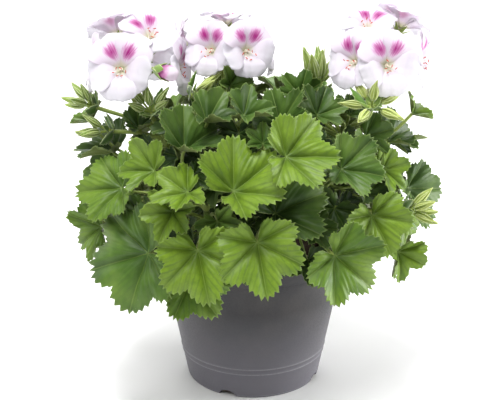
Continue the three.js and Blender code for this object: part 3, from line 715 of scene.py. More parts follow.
for index, leaf in enumerate(LEAVES):
    leaf["phase"] = index * 2.4
    # The model's blades have more teeth to a lobe the larger they are.
    teeth = 6 if leaf["reach"] > 36 else 4 if leaf["reach"] > 28 else 2
    steps = np.arange(LEAF_LOBES * teeth + 1)
    angle = (steps / teeth - LEAF_LOBES / 2) * LOBE_ANGLE
    scale = np.where(steps % 2, 1.05, 0.95)
    best = (0, None)
    for cost, smaller, push, swing, nod in MOVES:
        moved = dict(leaf, faces=leaf["faces"] + swing, lean=leaf["lean"] + nod,
                     reach=leaf["reach"] * smaller)
        moved["junction"] = leaf["junction"] + push * facing(moved["faces"], moved["lean"])[0]
        points, flat = blade_points(moved, np.ones(len(angle)), angle, scale)
        match = nearness(points, CAD_LEAF_THICKNESS / 2, 0.02)
        if match > best[0]:
            best = (match, moved)
        if match > 0.7:
            break
    leaf.update(best[1])
    best = (-1, None, None)
    for name, point in growing_points(leaf["junction"]):
        curve = leaf_stalk(leaf, point)
        long = np.linalg.norm(point - leaf["junction"]) > LONG_STALK
        match = nearness(spaced(curve, [1 / 3, 2 / 3] if long else [0.5]), CAD_STALK_RADIUS, 0.03)
        if match > best[0]:
            best = (match, name, point)
    match, leaf["node"], leaf["root"] = best


def solid_sheet(top, under, rim_loop, top_faces):
    """A thin closed sheet from its two faces, and the corners round its edge in order."""
    count = len(top)
    faces = list(top_faces)
    faces += [tuple(count + corner for corner in reversed(face)) for face in top_faces]
    for i, j in zip(rim_loop, rim_loop[1:] + rim_loop[:1]):
        faces.append((i, count + i, count + j, j))
    return np.concatenate([top, under]), faces


def grid_normals(grid, toward):
    """Unit normals of a grid of points, on the side that toward points to."""
    normals = np.cross(np.gradient(grid, axis=0), np.gradient(grid, axis=1))
    length = np.linalg.norm(normals, axis=-1, keepdims=True)
    normals = np.where(length > 1e-9, normals / np.maximum(length, 1e-9), toward)
    return np.where((normals @ toward)[..., None] < 0, -normals, normals)


BLADE_RINGS = [0, 0.08, 0.18, 0.29, 0.41, 0.53, 0.64, 0.74, 0.83, 0.9, 0.955, 1.0]
YOUNG_RINGS = [0, 0.1, 0.23, 0.38, 0.53, 0.67, 0.8, 0.89, 0.95, 1.0]
# A tooth from its point to the next, as shares of the reach: it falls steeply on the side away
# from the tip of its lobe, so all teeth point toward that tip.
TOOTH = [0.042, -0.042, 0.002]
FULL_SWEEP = 162
ROUNDED_FROM = 138
YOUNG_REACH = 26
SIDE_VEIN_SPACING = 7.2
SIDE_VEIN_SLANT = 1.9
# Valleys along the main veins, pleats between the lobes and the funnel at the stalk are shares of
# the reach. Quilting between the side veins and thickness are in millimetres.
VALLEY_WIDTH = 0.09
VALLEY_DEPTH = 0.075
PLEAT_DEPTH = 0.035
FUNNEL_WIDTH = 0.34
QUILT_DEPTH = 0.26
LEAF_HALF_THICKNESS = 0.26
EDGE_THINNING = 0.15


def blade_form(leaf, seed, rings):
    """The shape of a blade: toothed, creased along its veins, pleated and waved at its edge."""
    random = np.random.default_rng(seed)
    half_lobe = len(TOOTH) * (4 if leaf["reach"] > 24 else 3)
    step = LOBE_ANGLE / 2 / half_lobe
    column = np.arange(-int(FULL_SWEEP / step), int(FULL_SWEEP / step) + 1)
    angle = column * step
    from_tip = np.abs((column + half_lobe) % (2 * half_lobe) - half_lobe)
    tooth = np.where(from_tip == half_lobe, min(TOOTH), np.take(TOOTH, from_tip % len(TOOTH)))
    tooth = tooth * (0.6 + 0.8 * random.random(len(column)))
    tooth += 0.006 * random.standard_normal(len(column))
    rounded = np.clip((np.abs(angle) - ROUNDED_FROM) / (FULL_SWEEP - ROUNDED_FROM), 0, 1)
    s, a = np.meshgrid(rings, angle, indexing="ij")
    reach = leaf["reach"]
    wrapped = np.radians((a + LOBE_ANGLE / 2) % LOBE_ANGLE - LOBE_ANGLE / 2)
    length = reach * outline(a) * s
    beside = length * np.abs(np.sin(wrapped))
    along = length * np.cos(wrapped)
    near = np.minimum(1, s / 0.3)
    valley = np.exp(-((beside / (VALLEY_WIDTH * reach * (0.3 + 0.7 * s))) ** 2))
    pleat = np.cos(a / LOBE_ANGLE * 2 * math.pi)
    crease = -VALLEY_DEPTH * valley * near - PLEAT_DEPTH * s**2 * pleat
    slanted = (along - SIDE_VEIN_SLANT * beside) / SIDE_VEIN_SPACING
    quilt = QUILT_DEPTH * np.cos(slanted * 2 * math.pi) * np.minimum(1, beside / 2.5) * near
    wave = 0.05 * s**3 * np.sin(2 * np.radians(a) + 2.3 * seed)
    wave += 0.042 * s**4 * np.sin(5 * np.radians(a) + 1.7 * seed)
    wave += 0.016 * s**4 * np.sin(19 * np.radians(a) + seed)
    funnel = -FUNNEL * np.exp(-((s / FUNNEL_WIDTH) ** 2))
    extra = (crease + wave + funnel) * reach - quilt
    young = 1 if reach < YOUNG_REACH else 0
    own_fold = (0.16 + 0.08 * young) * (random.random() - 0.35)
    extra += own_fold * reach * s**1.5 * np.abs(np.sin(np.radians(a)))
    between = (1 - np.abs(np.cos(a / LOBE_ANGLE * math.pi))) ** 0.75
    edge = (1 + tooth * s**7) * (1.02 - (0.07 + 0.16 * young) * between * s**3)
    edge *= 1 - 0.3 * rounded**2 * s
    grid, flat = blade_points(leaf, s, a, edge, extra)
    return grid, np.concatenate([flat, s[..., None]], -1)


def leaf_blade(leaf, form):
    """The closed sheet of a blade, thick along its middle and thin at its edge."""
    grid, spot = form
    normals = grid_normals(grid, leaf_frame(leaf)[0])
    half = LEAF_HALF_THICKNESS - EDGE_THINNING * spot[..., 2:] ** 3
    last, width = grid.shape[0] - 1, grid.shape[1]
    top, under = grid + half * normals, grid - half * normals
    top = np.concatenate([top[:1, 0], top[1:].reshape(-1, 3)])
    under = np.concatenate([under[:1, 0], under[1:].reshape(-1, 3)])

    def corner(ring, column):
        return 1 + (ring - 1) * width + column

    top_faces = [(0, corner(1, c), corner(1, c + 1)) for c in range(width - 1)]
    for r in range(1, last):
        for c in range(width - 1):
            inner, outer = corner(r, c), corner(r + 1, c)
            top_faces.append((inner, outer, outer + 1, inner + 1))
    rim = [0] + [corner(r, 0) for r in range(1, last)] + [corner(last, c) for c in range(width)]
    rim += [corner(r, width - 1) for r in range(last - 1, 0, -1)]
    points, faces = solid_sheet(top, under, rim, top_faces)
    spot = np.concatenate([spot[:1, 0], spot[1:].reshape(-1, 3)])
    look = np.tile([leaf["tone"], 1, 0], (len(top), 1))
    values = {
        "blade": np.concatenate([spot, spot]),
        "look": np.concatenate([look, look * [1, 0, 0]]),
    }
    return {"points": points, "faces": faces, "values": values}


# A living leaf: waxy and finely hairy, so it has a soft satin sheen and not a gloss. It is fresh
# green, with painted shade that darkens it where it meets the stalk, along its sunken veins and in
# the furrows of its side veins, soft greyer patches of painted sheen where its hairs catch the
# light, faintly pale at its edge, greyer beneath, and lets a little light through.
MOTTLE = 5
PATCH = 24
VEIN_WANDER = 4.5
leaf_green, tree, output = new_material("satin_hairy_leaf")
blade = add(tree, "Attribute", attribute_name="blade")
spot = add(tree, "SeparateXYZ", {"Vector": blade}).node.outputs
look = add(tree, "Attribute", attribute_name="look")
looks = add(tree, "SeparateXYZ", {"Vector": look}).node.outputs
place = add(tree, "TexCoord").node.outputs["Object"]
# Distances along and beside the nearest of the five main veins, in millimetres.
angle = add(tree, "Math", {0: spot["Y"], 1: spot["X"]}, operation="ARCTAN2")
half_angle = math.radians(LOBE_ANGLE / 2)
within = add(tree, "Math", {0: angle, 1: half_angle, 2: -half_angle}, operation="WRAP")
flat_spot = add(tree, "CombineXYZ", {"X": spot["X"], "Y": spot["Y"]})
radius = add(tree, "VectorMath", {0: flat_spot}, operation="LENGTH")
sine = add(tree, "Math", {0: within}, operation="SINE")
sine = add(tree, "Math", {0: sine}, operation="ABSOLUTE")
cosine = add(tree, "Math", {0: within}, operation="COSINE")
beside = add(tree, "Math", {0: radius, 1: sine}, operation="MULTIPLY")
along = add(tree, "Math", {0: radius, 1: cosine}, operation="MULTIPLY")
wobble = add(tree, "TexNoise", {"Vector": blade, "Scale": 1 / VEIN_WANDER, "Detail": 2})
slant = add(tree, "Math", {0: beside, 1: -SIDE_VEIN_SLANT, 2: along}, operation="MULTIPLY_ADD")
slant = add(tree, "Math", {0: wobble, 1: 4, 2: slant}, operation="MULTIPLY_ADD")
branch = add(tree, "Math", {0: slant, 1: SIDE_VEIN_SPACING / 2}, operation="PINGPONG")
main_vein = add(
    tree,
    "MapRange",
    {"Value": beside, "From Min": 0.1, "From Max": 0.6, "To Min": 1, "To Max": 0},
    interpolation_type="SMOOTHSTEP",
)
side_vein = add(
    tree,
    "MapRange",
    {"Value": branch, "From Min": 0.05, "From Max": 0.7, "To Min": 0.25, "To Max": 0},
    interpolation_type="SMOOTHSTEP",
)
side_groove_shade = add(
    tree,
    "MapRange",
    {"Value": branch, "From Min": 0.2, "From Max": 1.6, "To Min": 0.34, "To Max": 0},
    interpolation_type="SMOOTHSTEP",
)
veins = add(tree, "Math", {0: main_vein, 1: side_vein}, operation="MAXIMUM")
mottle = add(
    tree,
    "TexNoise",
    {"Vector": place, "Scale": 1 / (MOTTLE * MM), "Detail": 5, "Roughness": 0.65},
)
patch = add(tree, "TexNoise", {"Vector": place, "Scale": 1 / (PATCH * MM), "Detail": 3})
drift = add(
    tree,
    "MapRange",
    {"Value": patch, "From Min": 0.3, "From Max": 0.7, "To Min": -0.2, "To Max": 0.2},
)
tone = add(tree, "Math", {0: looks["X"], 1: drift}, operation="ADD")
ramp = add(tree, "ValToRGB", {"Fac": tone})
ramp.node.color_ramp.elements[0].color = linear("#1B3113")
ramp.node.color_ramp.elements[1].color = linear("#77951E")
ramp.node.color_ramp.elements.new(0.5).color = linear("#48691C")
deep = add(
    tree,
    "MapRange",
    {"Value": mottle, "From Min": 0.35, "From Max": 0.7, "To Min": 0, "To Max": 0.4},
)
mottled = add(
    tree, "Mix", {"Factor": deep, "A": ramp, "B": linear("#365517")}, data_type="RGBA"
)
# Painted shade: the heart of the blade, a strip along each main vein and the furrows of the side
# veins are darkened toward deep green, as the shade in its funnel and creases.
heart = add(
    tree,
    "MapRange",
    {"Value": spot["Z"], "From Min": 0.05, "From Max": 0.6, "To Min": 0.6, "To Max": 0},
    interpolation_type="SMOOTHSTEP",
)
vein_shade_band = add(
    tree,
    "MapRange",
    {"Value": beside, "From Min": 0.3, "From Max": 2.6, "To Min": 0.4, "To Max": 0},
    interpolation_type="SMOOTHSTEP",
)
# The painted shade: the largest of the three darkenings.
shade = add(tree, "Math", {0: heart, 1: vein_shade_band}, operation="MAXIMUM")
shade = add(tree, "Math", {0: shade, 1: side_groove_shade}, operation="MAXIMUM")
shaded = add(
    tree, "Mix", {"Factor": shade, "A": mottled, "B": linear("#294512")}, data_type="RGBA"
)
# Painted sheen: soft greyer patches away from its heart, where the hairs would catch the light.
painted_hair_sheen = add(
    tree,
    "MapRange",
    {"Value": patch, "From Min": 0.42, "From Max": 0.72, "To Min": 0, "To Max": 0.6},
)
painted_hair_sheen = add(tree, "Math", {0: painted_hair_sheen, 1: spot["Z"]}, operation="MULTIPLY")
shaded = add(
    tree, "Mix", {"Factor": painted_hair_sheen, "A": shaded, "B": linear("#6F8742")}, data_type="RGBA"
)
vein_share = add(tree, "Math", {0: veins, 1: 0.2}, operation="MULTIPLY")
veined = add(
    tree, "Mix", {"Factor": vein_share, "A": shaded, "B": linear("#9DB557")}, data_type="RGBA"
)
edge = add(
    tree,
    "MapRange",
    {"Value": spot["Z"], "From Min": 0.95, "From Max": 1, "To Min": 0, "To Max": 0.2},
)
topside = add(
    tree, "Mix", {"Factor": edge, "A": veined, "B": linear("#9CB55B")}, data_type="RGBA"
)
back_vein = add(tree, "Math", {0: veins, 1: 0.6}, operation="MULTIPLY")
underside = add(
    tree,
    "Mix",
    {"Factor": back_vein, "A": linear("#75834A"), "B": linear("#A3AF72")},
    data_type="RGBA",
)
colour = add(
    tree, "Mix", {"Factor": looks["Y"], "A": underside, "B": topside}, data_type="RGBA"
)
height = add(tree, "Math", {0: veins, 1: -0.6, 2: mottle}, operation="MULTIPLY_ADD")
relief = add(tree, "Bump", {"Height": height, "Strength": 0.4, "Distance": 0.6 * MM})
skin = add(
    tree,
    "BsdfPrincipled",
    {
        "Base Color": colour,
        "Roughness": 0.46,
        "Normal": relief,
        "IOR": 1.38,
        "Sheen Weight": 0.05,
        "Sheen Roughness": 0.5,
        "Sheen Tint": linear("#E8F0D0"),
    },
)
glow = add(tree, "BsdfTranslucent", {"Color": colour})
surface = add(tree, "MixShader", {0: 0.12, 1: skin, 2: glow})
tree.links.new(surface, output.inputs["Surface"])

# The room that blades and stalks take, in small cells, so that no blade runs through another.
CELL = 1.4
ROOM_CELLS = 200
ROOM_MIDDLE = [140, 140, 0]
room_taken = np.zeros((ROOM_CELLS, ROOM_CELLS, ROOM_CELLS), bool)


def cells(points):
    """The cells that points in millimetres lie in."""
    return tuple(((np.reshape(points, (-1, 3)) + ROOM_MIDDLE) / CELL).astype(int).T)


def cover(grid):
    """Points all over a blade that are closer together than a cell is wide."""
    between = [grid[:-1] + (grid[1:] - grid[:-1]) * share for share in (0, 0.25, 0.5, 0.75)]
    return np.concatenate([*between, grid[-1:]])


def place_leaf(leaf, form, name, stalk_sizes, sides, steps):
    """Adds a leaf and its stalk to a shoot, and marks the room that they take."""
    room_taken[cells(cover(form[0]))] = True
    room_taken[cells(spaced(leaf["curve"], np.linspace(0.1, 0.9, 60)))] = True
    leaf_shapes[name].append(leaf_blade(leaf, form))
    # A stalk's green follows its leaf's tone, so the inner leaves' stalks carry their painted
    # shade.
    grow_stalk(name, leaf["curve"], stalk_sizes, sides, steps, 0.3 + 0.45 * leaf["tone"])


# The outermost leaves keep their size and place. A leaf nearer the heart gives way to them: it
# moves a little along its own facing, nods, or stays a little smaller, whichever spoils it least.
SHRINK_COST = 500
PUSH_COST = 10
NOD_COST = 2
GIVING_WAY = sorted(
    (SHRINK_COST * (1 - scale) + PUSH_COST * abs(push) + NOD_COST * abs(nod), scale, push, nod)
    for scale in (1, 0.93, 0.86)
    for push in (0, -2, 2, -4, 4, 7)
    for nod in (0, -7, 7)
)
LEAF_STALK = [1.6, 1.15, 1.0, 1.0, 1.15]
leaf_shapes = {name: [] for name in STEMS}
for name, curve in STEM_CURVES.items():
    room_taken[cells(spaced(curve, np.linspace(0, 1, 200)))] = True
for index in sorted(range(len(LEAVES)), key=lambda i: -np.linalg.norm(LEAVES[i]["junction"][:2])):
    leaf = LEAVES[index]
    rings = BLADE_RINGS if leaf["reach"] > YOUNG_REACH else YOUNG_RINGS
    least = (math.inf, None, None)
    for effort, scale, push, nod in GIVING_WAY:
        if effort > least[0]:
            break
        moved = dict(leaf, reach=leaf["reach"] * scale, lean=leaf["lean"] + nod)
        moved["junction"] = leaf["junction"] + push * facing(leaf["faces"], leaf["lean"])[0]
        form = blade_form(moved, index, rings)
        cost = effort + room_taken[cells(cover(form[0]))].sum()
        if cost < least[0]:
            least = (cost, moved, form)
    cost, leaf, form = least
    leaf["curve"] = leaf_stalk(leaf, leaf["root"], 0.5, 0, 0.6 + FUNNEL * leaf["reach"])
    place_leaf(leaf, form, leaf["node"], LEAF_STALK, 9, 16)

# The inner leaves: small leaves that sit on short stalks in the shade of the outer ones, coloured
# darker green as painted shade. They are tried at many places, grow where the outer leaves leave
# room, and make the heart of the plant dark and full.
INNER_LEAVES = 118
INNER_ATTEMPTS = 6000
INNER_RINGS = [0, 0.2, 0.45, 0.68, 0.88, 1.0]
INNER_SEED = 29
INNER_STALK = [1.3, 0.9, 0.9]
wander = stream(INNER_SEED)
grown = 0
for attempt in range(INNER_ATTEMPTS):
    if grown == INNER_LEAVES:
        break
    azimuth, height = 360 * next(wander), 112 + 86 * next(wander)
    radius = (0.35 + 0.65 * next(wander)) * (86 - 0.45 * max(0, height - 150))
    a = math.radians(azimuth)
    leaf = dict(
        junction=np.array([radius * math.sin(a), -radius * math.cos(a), height]),
        faces=azimuth + 50 * (next(wander) - 0.5),
        lean=30 + 30 * next(wander),
        turn=90 * (next(wander) - 0.5),
        reach=15 + 10 * next(wander),
        cup=0.14,
        fold=0.15,
        # The inner leaves take the darkest tones, as painted shade.
        tone=0.2 * next(wander),
        phase=attempt * 2.4,
    )
    # Each leaf takes nine numbers of the stream, and the ninth is spare.
    next(wander)
    if room_taken[cells(leaf["junction"])].any():
        continue
    name, point = growing_points(leaf["junction"])[0]
    leaf["curve"] = leaf_stalk(leaf, point, 0.5, 0, 0.6 + FUNNEL * leaf["reach"])
    form = blade_form(leaf, 100 + attempt, INNER_RINGS)
    blade_hits = room_taken[cells(cover(form[0]))].sum()
    stalk_hits = room_taken[cells(spaced(leaf["curve"], np.linspace(0.3, 0.9, 40)))].sum()
    if blade_hits > 2 or stalk_hits > 0:
        continue
    grown += 1
    place_leaf(leaf, form, name, INNER_STALK, 7, 12)

# The blooms: heads of six, each on a thin stalk with a green calyx. A bloom is a wide shallow
# trumpet of five near-white petals, and its two upper petals carry a feathered magenta blotch.
THROAT_DEPTH = 8
PETAL_LENGTH = 21
PETAL_ROWS = 19
PETAL_COLUMNS = 21
CAD_PETAL_THICKNESS = 0.8
CALYX_LENGTH = 7
GAP = 0.3
JOINT_RADIUS = 3.2
STAMENS = 6
# Each head: its stem, where the stalks of its blooms part, and its blooms. Each bloom: the middle
# of its throat, the way it faces and leans back, how far it is turned, and its size.
HEADS = {
    "left": ("stem_left", (-80, -3, 205), [
        (-85, -33, 228, -8, 22, 0, 1),
        (-66, -8, 247, 25, 62, 12, 0.92),
        (-50, -13, 223, 75, 8, -20, 0.86),
        (-106, -6, 224, -80, 10, 15, 0.9),
        (-92, 18, 244, 200, 55, 0, 0.92),
        (-72, 27, 222, 165, 5, 0, 0.92),
    ]),
    "centre": ("stem_middle", (-17, 6, 213), [
        (-30, -20, 238, -28, 25, 0, 0.84),
        (-3, -22, 237, 24, 20, -5, 0.84),
        (-18, 6, 255, 180, 80, 0, 0.8),
        (10, 8, 230, 85, 12, 0, 0.8),
        (-16, 32, 230, 180, 12, 0, 0.84),
        (-44, 10, 232, -95, 12, 0, 0.8),
    ]),
    "right": ("stem_right", (84, -2, 206), [
        (86, -36, 231, 10, 20, 0, 0.96),
        (60, -24, 231, -45, 20, -5, 0.92),
        (74, -2, 252, -25, 72, 0, 0.86),
        (112, -12, 228, 72, 5, 10, 0.9),
        (100, 14, 248, 130, 52, 0, 0.9),
        (82, 28, 224, 185, 0, 0, 0.92),
    ]),
}
# Petals from the top, clockwise: angle, width and length.
PETALS = [(-35, 1.12, 1.04), (35, 1.12, 1.04), (106, 1, 0.94), (180, 1.02, 0.96), (-106, 1, 0.94)]


def petal_out(way, angle):
    """The way a petal points, at an angle from the top of its bloom, clockwise."""
    down, right = way[1:]
    return -down * math.cos(math.radians(angle)) + right * math.sin(math.radians(angle))


def bloom_corners(throat, way, size):
    """Where the broad ends of the petals stand in the model, without their ruffle."""
    points = []
    for angle, width, length in PETALS:
        out = petal_out(way, angle)
        beside = np.cross(way[0], out)
        reach = PETAL_LENGTH * size * length
        half = 0.54 * width * PETAL_LENGTH * size
        for side in (-1, 1):
            points.append(throat + out * reach * 0.6 + beside * side * half + way[0] * 1.2 * side)
    return points


def grid_sheet(grid, half_thickness, toward, mirrored=False):
    """A thin closed sheet over a grid of points, with its top on the side that toward points to."""
    normals = grid_normals(grid, toward)
    top, under = grid + half_thickness * normals, grid - half_thickness * normals
    corners = np.arange(grid.shape[0] * grid.shape[1]).reshape(grid.shape[:2])
    # Where rows and columns turn the other way, they change places, so that the faces look out.
    corners = (corners.T if mirrored else corners).tolist()
    top_faces = [
        (near[c], far[c], far[c + 1], near[c + 1])
        for near, far in zip(corners, corners[1:])
        for c in range(len(near) - 1)
    ]
    rim = [row[0] for row in corners[:-1]] + corners[-1][:-1]
    rim += [row[-1] for row in corners[:0:-1]] + corners[0][:0:-1]
    return solid_sheet(top.reshape(-1, 3), under.reshape(-1, 3), rim, top_faces)


def petal(throat, way, size, angle, width, length, blotch_side, random):
    """One petal: a narrow claw in the throat that widens to a rounded, ruffled end."""
    normal = way[0]
    out = petal_out(way, angle)
    beside = np.cross(normal, out)
    reach, wide = PETAL_LENGTH * size * length, PETAL_LENGTH * size * width
    lengthways, across = np.linspace(0.06, 1, PETAL_ROWS), np.linspace(-1, 1, PETAL_COLUMNS)
    v, u = np.meshgrid(lengthways, across, indexing="ij")
    along_claw = [0.06, 0.15, 0.3, 0.45, 0.6, 0.75, 0.88, 1]
    half = wide * np.interp(v, along_claw, [0.06, 0.11, 0.28, 0.45, 0.55, 0.6, 0.58, 0.48])
    phase = 2 * math.pi * random.random(5)
    crown = 0.14 * (1 - u**2) * np.clip((v - 0.5) / 0.5, 0, 1)
    crown += 0.014 * np.sin(6 * u + phase[3]) * v**4 + 0.008 * np.sin(17 * u + phase[4]) * v**6
    notch = -0.03 * np.exp(-((u / 0.25) ** 2)) * v**8
    along = reach * (v * 0.93 + crown + notch)
    along_dip = [0.06, 0.2, 0.35, 0.5, 0.62, 0.8, 1]
    height = np.interp(v, along_dip, [-7.4, -5.0, -2.3, -0.6, 0, -0.4, -1.9])
    height += 1.15 * u * np.clip(v * 1.6, 0, 1)
    ruffle = 1.0 * v**3 * np.sin(2.6 * u + phase[0]) + 0.55 * v**4 * np.sin(7 * u + phase[1])
    ruffle += 0.25 * v**5 * np.sin(15 * u + phase[2]) + 0.25 * np.sin(4 * v + 2 * u + phase[2]) * v
    ruffle -= 0.3 * np.exp(-((u / 0.12) ** 2)) * np.sin(math.pi * v)
    side = (u * half)[..., None] * beside
    grid = throat + along[..., None] * out + side + (height + ruffle * size)[..., None] * normal
    points, faces = grid_sheet(grid, (0.16 - 0.08 * v**3)[..., None], normal)
    spot = np.stack([u * half, v, np.full_like(u, blotch_side)], -1).reshape(-1, 3)
    values = {"petal": np.concatenate([spot, spot * [1, 1, 0]]), "look": (random.random(), 0, 0)}
    return {"points": points, "faces": faces, "values": values}


# A petal: a thin, moist sheet of cells, satin and slightly see-through. It is white with a breath
# of pink and fine veins, greenish in the throat. The two upper petals carry the magenta blotch,
# which runs out in feathered streaks along the veins.
BLOTCH_MIDDLE = 0.55
BLOTCH_HALF_LENGTH = 0.25
BLOTCH_HALF_WIDTH = 4.4
BLOTCH_INWARD = 1.3
petal_white, tree, output = new_material("thin_satin_petal")
shape = add(tree, "Attribute", attribute_name="petal")
spot = add(tree, "SeparateXYZ", {"Vector": shape}).node.outputs
look = add(tree, "Attribute", attribute_name="look")
own = add(tree, "SeparateXYZ", {"Vector": look})
# Veins fan out from the claw, so they are drawn over the slope of a line from the throat. They are
# about 1 mm apart at the broad end.
CLAW_SHARE = 0.15
PETAL_VEIN_SPACING = 0.96
PETAL_VEIN_LENGTH = 8.75
PETAL_SEED = 48
fan_scale = ((1 + CLAW_SHARE) / PETAL_VEIN_SPACING, PETAL_LENGTH / PETAL_VEIN_LENGTH, PETAL_SEED)
fan = add(tree, "Math", {0: spot["Y"], 1: CLAW_SHARE}, operation="ADD")
fan = add(tree, "Math", {0: spot["X"], 1: fan}, operation="DIVIDE")
fan_place = add(tree, "CombineXYZ", {"X": fan, "Y": spot["Y"], "Z": own})
fan_place = add(tree, "VectorMath", {0: fan_place, 1: fan_scale}, operation="MULTIPLY")
streaks = add(tree, "TexNoise", {"Vector": fan_place, "Scale": 1, "Detail": 5, "Roughness": 0.65})
outward = add(tree, "Math", {0: spot["Y"], 1: BLOTCH_MIDDLE}, operation="SUBTRACT")
outward = add(tree, "Math", {0: outward, 1: 1 / BLOTCH_HALF_LENGTH}, operation="MULTIPLY")
room_beside = add(tree, "Math", {0: spot["Y"], 1: 0.45}, operation="ADD")
inward = add(
    tree, "Math", {0: spot["Z"], 1: -BLOTCH_INWARD, 2: spot["X"]}, operation="MULTIPLY_ADD"
)
sideways = add(tree, "Math", {0: inward, 1: 1 / BLOTCH_HALF_WIDTH}, operation="MULTIPLY")
sideways = add(tree, "Math", {0: sideways, 1: room_beside}, operation="DIVIDE")
oval = add(tree, "CombineXYZ", {"X": outward, "Y": sideways})
oval = add(tree, "VectorMath", {0: oval}, operation="LENGTH")
feather = add(tree, "Math", {0: streaks, 1: 1.7, 2: oval}, operation="MULTIPLY_ADD")
blotch = add(
    tree,
    "MapRange",
    {"Value": feather, "From Min": 1.45, "From Max": 2.0, "To Min": 1, "To Max": 0},
    interpolation_type="SMOOTHSTEP",
)
upper = add(tree, "Math", {0: spot["Z"]}, operation="ABSOLUTE")
blotch = add(tree, "Math", {0: blotch, 1: upper}, operation="MULTIPLY")
core = add(
    tree,
    "MapRange",
    {"Value": feather, "From Min": 0.9, "From Max": 1.8, "To Min": 1, "To Max": 0},
)
magenta = add(
    tree, "Mix", {"Factor": core, "A": linear("#E0A6D2"), "B": linear("#B12C88")}, data_type="RGBA"
)
blush = add(
    tree,
    "MapRange",
    {"Value": spot["Y"], "From Min": 0.2, "From Max": 0.9, "To Min": 0.35, "To Max": 0.08},
)
blush = add(tree, "Math", {0: blush, 1: streaks}, operation="MULTIPLY")
blush = add(tree, "Math", {0: upper, 1: 0.15, 2: blush}, operation="MULTIPLY_ADD")
white = add(
    tree, "Mix", {"Factor": blush, "A": linear("#F0EFF4"), "B": linear("#EDCBE3")}, data_type="RGBA"
)
throat_share = add(
    tree,
    "MapRange",
    {"Value": spot["Y"], "From Min": 0.08, "From Max": 0.28, "To Min": 0.75, "To Max": 0},
)
pale = add(
    tree, "Mix", {"Factor": throat_share, "A": white, "B": linear("#E3E8BC")}, data_type="RGBA"
)
colour = add(tree, "Mix", {"Factor": blotch, "A": pale, "B": magenta}, data_type="RGBA")
relief = add(tree, "Bump", {"Height": streaks, "Strength": 0.3, "Distance": 0.4 * MM})
skin = add(
    tree,
    "BsdfPrincipled",
    {
        "Base Color": colour,
        "Roughness": 0.55,
        "Normal": relief,
        "IOR": 1.4,
        "Sheen Weight": 0.15,
        "Sheen Roughness": 0.5,
    },
)
glow = add(tree, "BsdfTranslucent", {"Color": colour})
surface = add(tree, "MixShader", {0: 0.5, 1: skin, 2: glow})
tree.links.new(surface, output.inputs["Surface"])

# An anther: two sacs that split and turn out grains of orange pollen, so it looks like felt. The
# grains are far too fine to show and are drawn coarser.
POLLEN = 0.3
anther_orange, tree, output = new_material("orange_pollen_anther")
place = add(tree, "TexCoord").node.outputs["Object"]
grains = add(tree, "TexNoise", {"Vector": place, "Scale": 1 / (POLLEN * MM), "Detail": 2})
colour = add(
    tree,
    "Mix",
    {"Factor": grains, "A": linear("#A42C1D"), "B": linear("#D65B3C")},
    data_type="RGBA",
)
relief = add(tree, "Bump", {"Height": grains, "Strength": 0.5, "Distance": 0.15 * MM})
surface = add(tree, "BsdfPrincipled", {"Base Color": colour, "Roughness": 0.85, "Normal": relief})
tree.links.new(surface, output.inputs["Surface"])
# A filament or a style: smooth, moist plant tissue, greenish white and flushed with pink.
FLUSH = 2
filament_pale, tree, output = new_material("pale_moist_filament")
place = add(tree, "TexCoord").node.outputs["Object"]
flush = add(tree, "TexNoise", {"Vector": place, "Scale": 1 / (FLUSH * MM), "Detail": 2})
colour = add(
    tree, "Mix", {"Factor": flush, "A": linear("#DDE3B4"), "B": linear("#F4D9E6")}, data_type="RGBA"
)
surface = add(tree, "BsdfPrincipled", {"Base Color": colour, "Roughness": 0.45, "IOR": 1.4})
tree.links.new(surface, output.inputs["Surface"])


SEPAL_HALF_THICKNESS = 0.14
BRACT_TEETH = 6


def pointed_scale(root, along, outward, length, width, curl, green, teeth=0):
    """A sepal or a bract: a small pointed leaf, folded along its middle and curling outward."""
    beside = unit(np.cross(along, outward))
    outward = np.cross(beside, along)
    rows = 3 * teeth + 1 if teeth else 10
    v, u = np.meshgrid(np.linspace(0, 1, rows), [-1, -0.5, 0, 0.5, 1], indexing="ij")
    half = width / 2 * np.interp(v, [0, 0.15, 0.4, 0.7, 0.9, 1], [0.5, 0.85, 1, 0.66, 0.26, 0.03])
    if teeth:
        half *= 1 + np.where(np.abs(u) == 1, np.tile([-0.12, 0.04, 0.2], teeth + 1)[:rows, None], 0)
    height = curl * length * v**2 - 0.4 * half * np.abs(u) ** 1.5
    side = (u * half)[..., None] * beside
    grid = root + (v * length)[..., None] * along + side + height[..., None] * outward
    points, faces = grid_sheet(grid, SEPAL_HALF_THICKNESS, outward, mirrored=True)
    spot = np.stack([u, v, np.zeros_like(u)], -1).reshape(-1, 3)
    values = {"look": (green, 0, 0), "sepal": np.concatenate([spot, spot])}
    return {"points": points, "faces": faces, "values": values}


